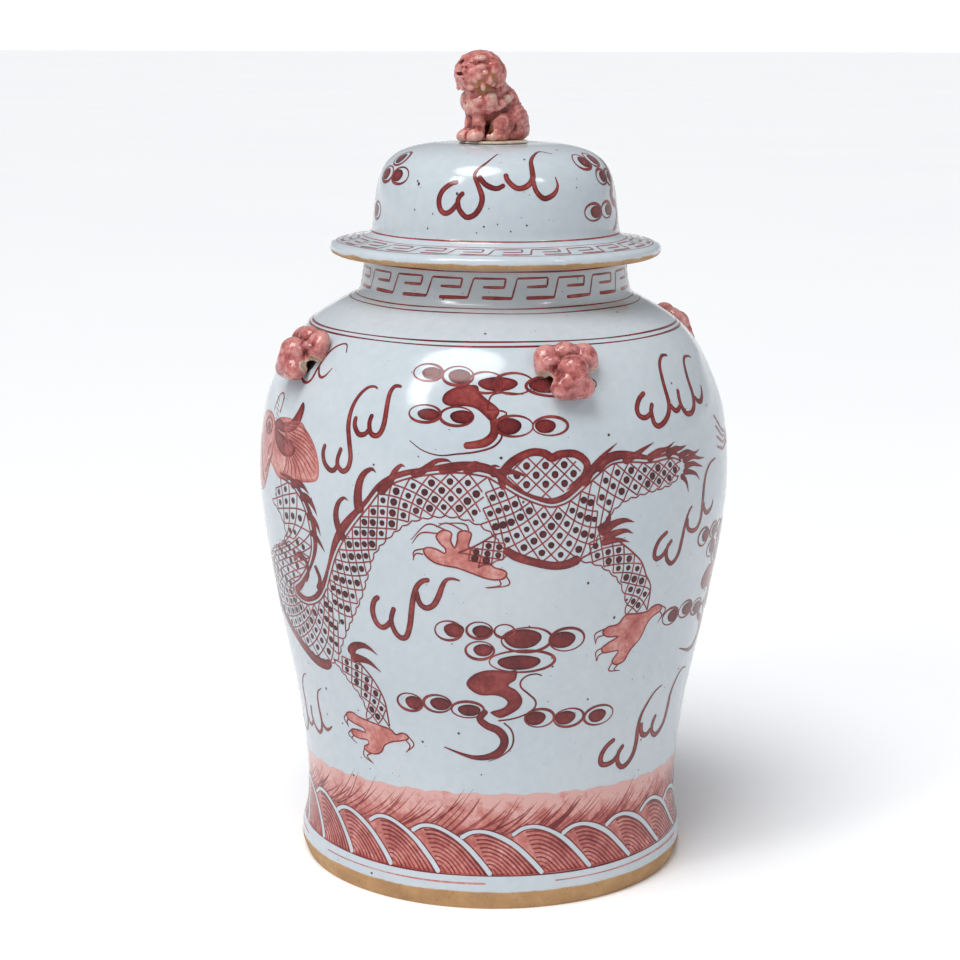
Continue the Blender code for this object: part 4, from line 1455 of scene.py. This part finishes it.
# Licks of flame: the width at the root, then the points from root to tip.
FLAMES = [
    (6.5, [(-55.3, 250), (-57.0, 260), (-57.3, 268), (-56.4, 275), (-54.8, 278.5), (-53.6, 277)]),
    (8.0, [(-50.2, 270), (-50.9, 279), (-50.6, 289), (-49.4, 296), (-47.4, 299.5), (-46.2, 297.5)]),
    (7.0, [(-45.5, 284.5), (-43.6, 290), (-42.2, 295), (-41.4, 300), (-40.0, 303.8), (-39.0, 303)]),
    (6.0, [(-37.5, 298), (-35.0, 301), (-33.4, 304.5), (-31.6, 308), (-29.4, 308.8), (-28.2, 307.6)]),
    (5.5, [(-31.0, 301.5), (-28.0, 303.5), (-25.0, 305), (-22.8, 308), (-21.4, 307.2)]),
    (5.0, [(-25.5, 302), (-22.6, 304), (-20.2, 304), (-18.4, 306), (-17.2, 305.2)]),
    (5.0, [(-19.5, 300.5), (-16.8, 302.5), (-14.4, 302.2), (-12.4, 300.7), (-11.4, 298.8)]),
    (7.0, [(1.5, 292), (3.5, 300), (5.5, 306), (7.5, 311), (10.8, 317)]),
    (6.0, [(5.0, 301), (8.0, 306.5), (12.0, 308), (15.5, 307)]),
    (6.0, [(12.0, 305), (15.5, 308), (18.0, 311), (21.5, 314.5)]),
    (6.0, [(19.0, 304), (22.5, 308), (25.5, 309), (28.5, 312.5)]),
    (6.0, [(25.0, 305), (28.5, 307.5), (30.5, 307.5), (33.0, 308.5)]),
    (5.0, [(29.5, 302), (33.0, 304), (36.0, 302), (38.5, 303.5)]),
    (4.5, [(31.0, 299), (35.0, 300), (38.0, 298), (41.0, 297)]),
    (4.5, [(31.5, 295), (35.0, 295.5), (37.5, 293.5), (39.8, 291.5)]),
    (4.5, [(31.0, 292), (34.0, 290.5), (36.5, 288), (38.0, 283.5)]),
    (4.5, [(30.0, 290), (31.5, 287), (32.5, 283), (33.0, 277.5)]),
    (7.0, [(-74.0, 279), (-70.5, 281), (-68.5, 280), (-66.3, 276)]),
    (7.0, [(-70.0, 273), (-67.0, 273), (-65.0, 269), (-63.6, 263)]),
    (6.5, [(-67.5, 262), (-65.3, 260), (-63.8, 256), (-62.9, 250)]),
    (5.5, [(-66.5, 251), (-64.6, 248), (-63.2, 244), (-61.9, 239)]),
    (7.5, [(-57.8, 170), (-56.2, 176), (-53.5, 178.5), (-51.2, 177.5), (-48.8, 173.5)]),
    (7.5, [(-57.5, 168), (-54.5, 168.5), (-51.5, 167), (-48.3, 161.5)]),
    (6.0, [(5.5, 262), (7.5, 266), (8.3, 270), (8.2, 275)]),
    (7.0, [(6.0, 260), (9.5, 265.5), (12.5, 267), (15.2, 265)]),
    (6.0, [(7.0, 257), (10.5, 259.5), (13.0, 260), (15.0, 257.5)]),
    (5.5, [(6.5, 254), (9.5, 254.5), (12.0, 254), (14.2, 252)]),
]
# Thick dark edges: points with a width at each.
DARK_EDGES = [
    [(-16.3, 253, 5), (-13.5, 248, 6), (-9.5, 244, 5.5), (-5.0, 241, 5.5), (-1.5, 241.5, 6), (1.5, 245, 7)],
    [(-96, 196, 2), (-93, 181, 5), (-86, 172, 6), (-79.5, 164, 7), (-73.5, 157.5, 7.5), (-68.5, 156.5, 7.5),
     (-66.0, 160, 5)],
    [(-16.5, 291, 3), (-16.8, 300, 5.5), (-14.5, 308.5, 5.5), (-10.5, 314, 5), (-7.3, 313.5, 5),
     (-5.5, 310.5, 5.5), (-3.5, 312.5, 5), (0.2, 312, 5), (2.8, 305.5, 5), (1.8, 297, 5), (-1.5, 290, 5)],
    [(-75.5, 226, 2), (-72.6, 232, 4), (-69.8, 229, 3.5), (-69.5, 221, 3), (-71.2, 214, 3)],
    [(-66.2, 228, 3), (-65.0, 219, 3.5), (-66.5, 211, 3.5)],
]
# Feet: an outline for the washed palm, then curved nails as (root, bend, tip).
FEET = [
    ([(-34.5, 250.5), (-33.5, 252.3), (-31.5, 251.5), (-29.6, 249.0), (-29.4, 252), (-30.8, 256),
      (-31.5, 260.0), (-30.6, 263.3), (-29.3, 264.3), (-28.0, 262.5), (-28.2, 257.5), (-27.3, 253),
      (-26.7, 258), (-26.5, 262.8), (-25.3, 264.5), (-23.6, 263), (-23.9, 258), (-24.2, 254.5),
      (-23.0, 251.5), (-21.4, 248.0), (-19.6, 244), (-18.3, 240.5), (-16.4, 239.0), (-15.5, 236.5),
      (-16.2, 233.2), (-18.2, 232.3), (-20.5, 233.5), (-23, 236), (-26.5, 239.5), (-29.5, 240.8),
      (-32, 242.5), (-34, 246.5)],
     [((-31.2, 262), (-35.0, 261.5), (-37.3, 254)), ((-29.3, 264.5), (-33.5, 267.5), (-37.5, 256.5)),
      ((-25.5, 264.8), (-29.0, 269.0), (-31.5, 266)), ((-24.0, 263.5), (-25.2, 269.0), (-31.0, 268.5)),
      ((-34.2, 251.5), (-36.8, 249.0), (-37.0, 243)), ((-34.6, 247.5), (-36.4, 247.5), (-37.2, 243)),
      ((-15.8, 236), (-15.0, 229), (-20.0, 226.5)), ((-17.2, 232.5), (-17.0, 228.5), (-20.5, 227))]),
    ([(15.6, 201.5), (19, 201), (22.4, 201), (24, 203.5), (26, 204.0), (27.6, 202), (27.3, 199),
      (24.8, 196.5), (23, 192), (21.5, 183), (18.6, 175.5), (17, 168.5), (14.6, 167), (13.2, 170),
      (14.8, 176.5), (12.5, 177.0), (10.3, 177.0), (9.6, 180.5), (11.6, 184.0), (14.0, 187), (10.8, 188.2),
      (9.3, 191.6), (10.6, 195), (13.5, 196.0)],
     [((9.6, 194.0), (7.2, 191.0), (7.6, 184)), ((9.8, 189.5), (8.0, 188.5), (7.6, 184)),
      ((9.8, 181.0), (8.0, 178.0), (8.6, 171.5)), ((10.4, 177.4), (8.9, 175.5), (8.6, 171.5)),
      ((13.3, 168.5), (12.6, 163.5), (16.2, 162.0)), ((15.4, 167.0), (14.2, 163.5), (16.2, 162.0)),
      ((27.6, 202.5), (29.4, 198.5), (27.0, 190.5)), ((27.0, 198.8), (28.2, 195.5), (27.0, 190.5))]),
    ([(-55.4, 123.5), (-51.5, 122.0), (-47.6, 120.5), (-46.0, 117.5), (-44.0, 119.2), (-42.4, 118.2),
      (-42.3, 115.5), (-44.5, 113.5), (-47.5, 111.5), (-50.0, 108.0), (-51.2, 103.0), (-53.2, 100.2),
      (-56.2, 100.0), (-57.6, 103.0), (-55.6, 106.5), (-56.2, 109.0), (-59.0, 108.5), (-61.6, 109.8),
      (-61.8, 113.5), (-59.2, 114.5), (-56.6, 114.2), (-57.0, 117.0), (-60.0, 118.5), (-62.6, 120.5),
      (-63.0, 124.5), (-60.6, 126.5), (-58.2, 124.5)],
     [((-62.8, 125.0), (-64.4, 120.0), (-62.9, 114.5)), ((-62.6, 121.0), (-63.4, 118.0), (-62.9, 114.5)),
      ((-61.8, 113.5), (-63.4, 109.0), (-60.2, 104.0)), ((-61.0, 109.5), (-62.2, 107.0), (-60.2, 104.0)),
      ((-57.5, 102.5), (-58.0, 96.5), (-54.6, 92.5)), ((-54.5, 100.0), (-56.8, 97.0), (-54.6, 92.5)),
      ((-42.3, 118.0), (-40.6, 112.0), (-43.2, 105.5)), ((-43.0, 114.5), (-41.8, 110.5), (-43.2, 105.5))]),
]


def paint_feet(wash, lines):
    for palm, nails in FEET:
        wash.fill(palm, 0.20, 0.0, rim=2.0, grid=4.0)
        lines.stroke([(a, z, 1.1) for a, z in palm], 0.58, 0.1, closed=True)
        for root, bend, tip in nails:
            lines.stroke([(*root, 0.9), (*bend, 1.0), (*tip, 0.4)], 0.55, 0.1)


def paint_head(wash, lines):
    """The head lies in profile to the left: a fan of mane, a curved horn, a heavy brow and an open jaw."""
    wash.fill([(-84, 318), (-79, 321), (-75, 321), (-70, 318), (-66.5, 312), (-64, 303), (-63, 293),
               (-63.8, 286), (-68, 283), (-74, 281.5), (-80, 280), (-84, 285), (-88, 292),
               (-88, 308)], 0.16, 0.22, rim=2.5)
    rim = [(-69.0, 316.5), (-65.2, 306), (-63.3, 295), (-65.5, 284.5), (-72, 282), (-79, 281.5)]
    for k in range(15):
        t = k / 14
        root = (-79.5 + 2.5 * t, 317.5 - 17 * t)
        i = min(4, int(5 * t))
        part = 5 * t - i
        tip = tuple(rim[i][c] + (rim[i + 1][c] - rim[i][c]) * part for c in (0, 1))
        bow = (root[0] * 0.45 + tip[0] * 0.55 + 1.5, root[1] * 0.45 + tip[1] * 0.55 + 3.5 * (1 - t))
        lines.stroke([(*root, 1.0), (*bow, 1.1), (*tip, 0.5)], 0.40, 0.1)
    wash.fill([(-97, 316), (-92, 320), (-87, 318), (-84, 308), (-85, 296), (-87, 284), (-90, 272), (-95, 264),
               (-101, 268), (-103, 284), (-101, 302)], 0.22, 0.25, rim=2.5)
    lines.fill([(-86, 314), (-83, 318.5), (-79.5, 317), (-77, 318.5), (-75.5, 322), (-74.2, 327),
                (-73.0, 333.2), (-71.6, 330), (-71.8, 322.5), (-73.5, 315.5), (-77, 311.8),
                (-81, 311)], 0.60, 0.22, rim=2.0)
    lines.fill([(-85, 312), (-82.0, 310.5), (-78, 308.5), (-74.5, 307), (-72.6, 302.5), (-74.2, 297.5),
                (-77.8, 296), (-81.2, 299), (-83.6, 304)], 0.60, 0.25, rim=2.5)
    for k in range(3):
        brow = [(-82.5 + 1.2 * k, 309 - k), (-79.5 + k, 309 - 1.4 * k), (-76.5 + 0.6 * k, 306 - 2 * k)]
        ribbon(lines, brow, 0.8, tone=0.8)
    cloud_ring(lines, -90.5, 311, 3.4, 5.0, (-90.2, 310.5, 1.6, 2.6), 1.6)
    for azimuth, z in ((-87.4, 296), (-86.0, 289), (-88.4, 284)):
        ribbon(lines, [(azimuth - 1.8, z - 5), (azimuth - 0.6, z), (azimuth + 1.2, z + 5.5)], 1.6, tone=0.5)
    ribbon(lines, [(-101, 300), (-98, 294), (-95.5, 286), (-94, 277), (-91, 270)], 2.2, tone=0.6)
    for k in range(7):
        ribbon(lines, [(-88 + 0.7 * k, 331 - 3.2 * k), (-85.5 + 0.6 * k, 328.5 - 3.2 * k)], 0.8, tone=0.5)
    ear = [(-88.0, 322, 1), (-87.4, 331, 1), (-85.2, 334.5, 1), (-83.4, 331, 1), (-83.4, 322, 1)]
    lines.stroke(ear, 0.5, 0.1)
    for rise in (0, 7, 14, 21):
        ribbon(lines, [(-130, 300 + rise), (-124, 296 + 0.6 * rise), (-117, 298 + 0.3 * rise), (-110, 292),
                       (-104, 290)], 2.0, tone=0.5)


def paint_dragon():
    """The dragon, striding to the left: washed feet and head, netted hide, and flames over all."""
    net, dots, wash, flames = (Brush(BODY_WALL, lift) for lift in (0.12, 0.15, 0.08, 0.17))
    for stretch in (*TRUNK, FRONT_LEG, HIND_LEG):
        hide(net, dots, stretch)
    hide(net, dots, FAR_SHANK, mesh=7.5)
    hump(net, dots)
    spine_band(flames)
    for edge in DARK_EDGES:
        flames.stroke(edge, 0.62, 0.25)
    for width, points in FLAMES:
        tongue(flames, points, width)
    paint_feet(wash, net)
    paint_head(wash, flames)
    for brush, name in ((wash, "wash"), (net, "net"), (dots, "dots"), (flames, "flames")):
        brush.copied_round(PERIOD)
        brush.make("painted_dragon_" + name, PAINT, JAR, "body_glaze")


def spine_band(flames):
    """The dark band that runs along the whole back, a little way off it."""
    backs = [row[:2] for _, pairs in TRUNK for row in pairs]
    backs = [row for i, row in enumerate(backs) if i == 0 or math.dist(row, backs[i - 1]) > 0.5]
    line = catmull(np.array(backs, float) * (DEGREE, 1.0), 2.0)
    along = np.gradient(line, axis=0)
    along /= np.linalg.norm(along, axis=1)[:, None]
    rows = []
    for k, ((x, z), (dx, dz)) in enumerate(zip(line, along)):
        t = k / (len(line) - 1)
        width = 4.0 + 1.1 * math.sin(31 * t) + 0.9 * math.sin(57 * t + 1)
        width *= min(1.0, 8 * t + 0.3, 12 * (1 - t) + 0.4)
        away = 1.9 + width / 2
        rows.append(((x - dz * away) / DEGREE, z + dx * away, width))
    flames.stroke(rows[::2], 0.62, 0.28)


def hump(net, dots):
    """The shield of hide that stands above the dip of the back."""
    flat = (HUMP_DEGREE, 1.0)
    outline = loop_curve(np.array(HUMP) * flat, 2.0) / flat
    for sign in (1, -1):
        for k in range(-12, 13):
            line = []
            for j in range(40):
                t = -20 + j
                point = np.array([-7.0 + (k * NET_PITCH + t) / HUMP_DEGREE * 0.75,
                                  300 + sign * (t - k * NET_PITCH) * 0.75])
                if Brush.holds(point, outline):
                    line.append((*point, 0.95))
            if len(line) > 3:
                net.stroke(line, 0.52, 0.1, spacing=2.5)
    for i in range(-4, 5):
        for j in range(-4, 5):
            point = np.array([-7.0 + (i + j + 1) * NET_PITCH * 0.75 / HUMP_DEGREE,
                              300 + (i - j) * NET_PITCH * 0.75])
            if Brush.holds(point, outline) and Brush.clearance(point * flat, outline * flat) > 3.0:
                drop(dots, *point, 2.2 / HUMP_DEGREE, 2.4, 0.78)


def scatter_specks(draw):
    """Iron spots that come up through the glaze."""
    for wall, body, slot, count, low, high in ((BODY_WALL, JAR, "body_glaze", 620, 15, 418),
                                               (LID_WALL, LID, "lid_glaze", 130, 432, 495)):
        brush = Brush(wall, 0.13)
        for _ in range(count):
            size = 0.55 + 1.5 * draw.random() ** 4
            azimuth, z = draw.uniform(0, 360), draw.uniform(low, high)
            brush.oval(azimuth, z, size, size * draw.uniform(0.8, 1.2), 0.5, 0.0, count=8)
        brush.make("iron_specks_" + body, IRON, body, slot)


# ---------------------------------------------------------------- setting

def make_floor():
    """A wide, plain, pale floor."""
    verts = [(x, y, 0.0) for x, y in ((-40, -40), (40, -40), (40, 40), (-40, 40))]
    mesh = bpy.data.meshes.new("floor")
    mesh.from_pydata(verts, [], [(0, 1, 2, 3)])
    n = Nodes("floor")
    tint = n.ramp(n.noise(0.8, 2.0), (0.3, srgb(252, 252, 253)), (0.7, srgb(254, 254, 254)))
    n.finish(tint, 0.55, 0.2)
    mesh.materials.append(n.material)
    floor = bpy.data.objects.new("floor", mesh)
    bpy.context.scene.collection.objects.link(floor)


def area_light(name, place, target, size, power):
    data = bpy.data.lights.new(name, "AREA")
    data.shape = "RECTANGLE"
    data.size, data.size_y = size
    data.energy = power
    made = bpy.data.objects.new(name, data)
    made.matrix_world = looking(Vector(place), Vector(target))
    bpy.context.scene.collection.objects.link(made)


def looking(place, target):
    """A matrix at a place whose -Z looks at the target."""
    return Matrix.Translation(place) @ (target - place).to_track_quat("-Z", "Y").to_matrix().to_4x4()


def from_side(azimuth, elevation, away):
    """A place round the jar's middle, by azimuth from -Y towards +X and elevation, in degrees."""
    azimuth, elevation = math.radians(azimuth), math.radians(elevation)
    flat = away * math.cos(elevation)
    return (flat * math.sin(azimuth), -flat * math.cos(azimuth), LIGHT_HEIGHT + away * math.sin(elevation))


def make_light():
    """A bright floor under a dimmer dome, a soft light from above and the left, and two small softboxes."""
    world = bpy.data.worlds.new("studio")
    world.use_nodes = True
    tree = world.node_tree
    where = tree.nodes.new("ShaderNodeTexCoord")
    split = tree.nodes.new("ShaderNodeSeparateXYZ")
    tree.links.new(where.outputs["Generated"], split.inputs[0])
    fade = tree.nodes.new("ShaderNodeValToRGB")
    tree.links.new(split.outputs["Z"], fade.inputs["Fac"])
    for element, position, colour in zip(fade.color_ramp.elements, (0.02, 0.08), (HORIZON, DOME)):
        element.position = position
        element.color = (*colour, 1.0)
    tree.links.new(fade.outputs["Color"], tree.nodes["Background"].inputs["Color"])
    tree.nodes["Background"].inputs["Strength"].default_value = 1.08
    bpy.context.scene.world = world
    sun = bpy.data.lights.new("overhead", "SUN")
    sun.angle = math.radians(34.0)
    sun.energy = 2.25
    lamp = bpy.data.objects.new("overhead", sun)
    middle = (0.0, 0.0, LIGHT_HEIGHT)
    lamp.matrix_world = looking(Vector(from_side(-50.0, 64.0, 3.0)), Vector(middle))
    bpy.context.scene.collection.objects.link(lamp)
    area_light("softbox_left", from_side(-62.0, 40.0, 2.6), middle, (0.42, 0.60), 11.0)
    area_light("softbox_right", from_side(30.0, 40.0, 2.6), middle, (0.26, 0.34), 3.4)
    bpy.context.scene.view_settings.view_transform = "Standard"


def make_camera():
    """1.5 m away, a little left of the jar's front and looking down on it."""
    data = bpy.data.cameras.new("camera")
    data.sensor_width = 36.0
    data.lens = CAMERA_LENS
    data.clip_start = 0.05
    camera = bpy.data.objects.new("camera", data)
    azimuth, pitch = math.radians(CAMERA_AZIMUTH), math.radians(CAMERA_PITCH)
    place = Vector((CAMERA_AWAY * math.sin(azimuth), -CAMERA_AWAY * math.cos(azimuth), CAMERA_HEIGHT))
    turn = (Matrix.Rotation(azimuth + math.radians(CAMERA_YAW), 4, "Z")
            @ Matrix.Rotation(math.pi / 2 - pitch, 4, "X")
            @ Matrix.Rotation(math.radians(CAMERA_ROLL), 4, "Z"))
    camera.matrix_world = Matrix.Translation(place) @ turn
    bpy.context.scene.collection.objects.link(camera)
    bpy.context.scene.camera = camera


make_camera()
make_light()
make_floor()
make_body()
make_lid()
make_pad()
make_lion()
make_masks()
paint_bands()
paint_waves(random.Random(3))
paint_scrolls()
paint_clouds()
paint_lid()
paint_dragon()
scatter_specks(random.Random(11))
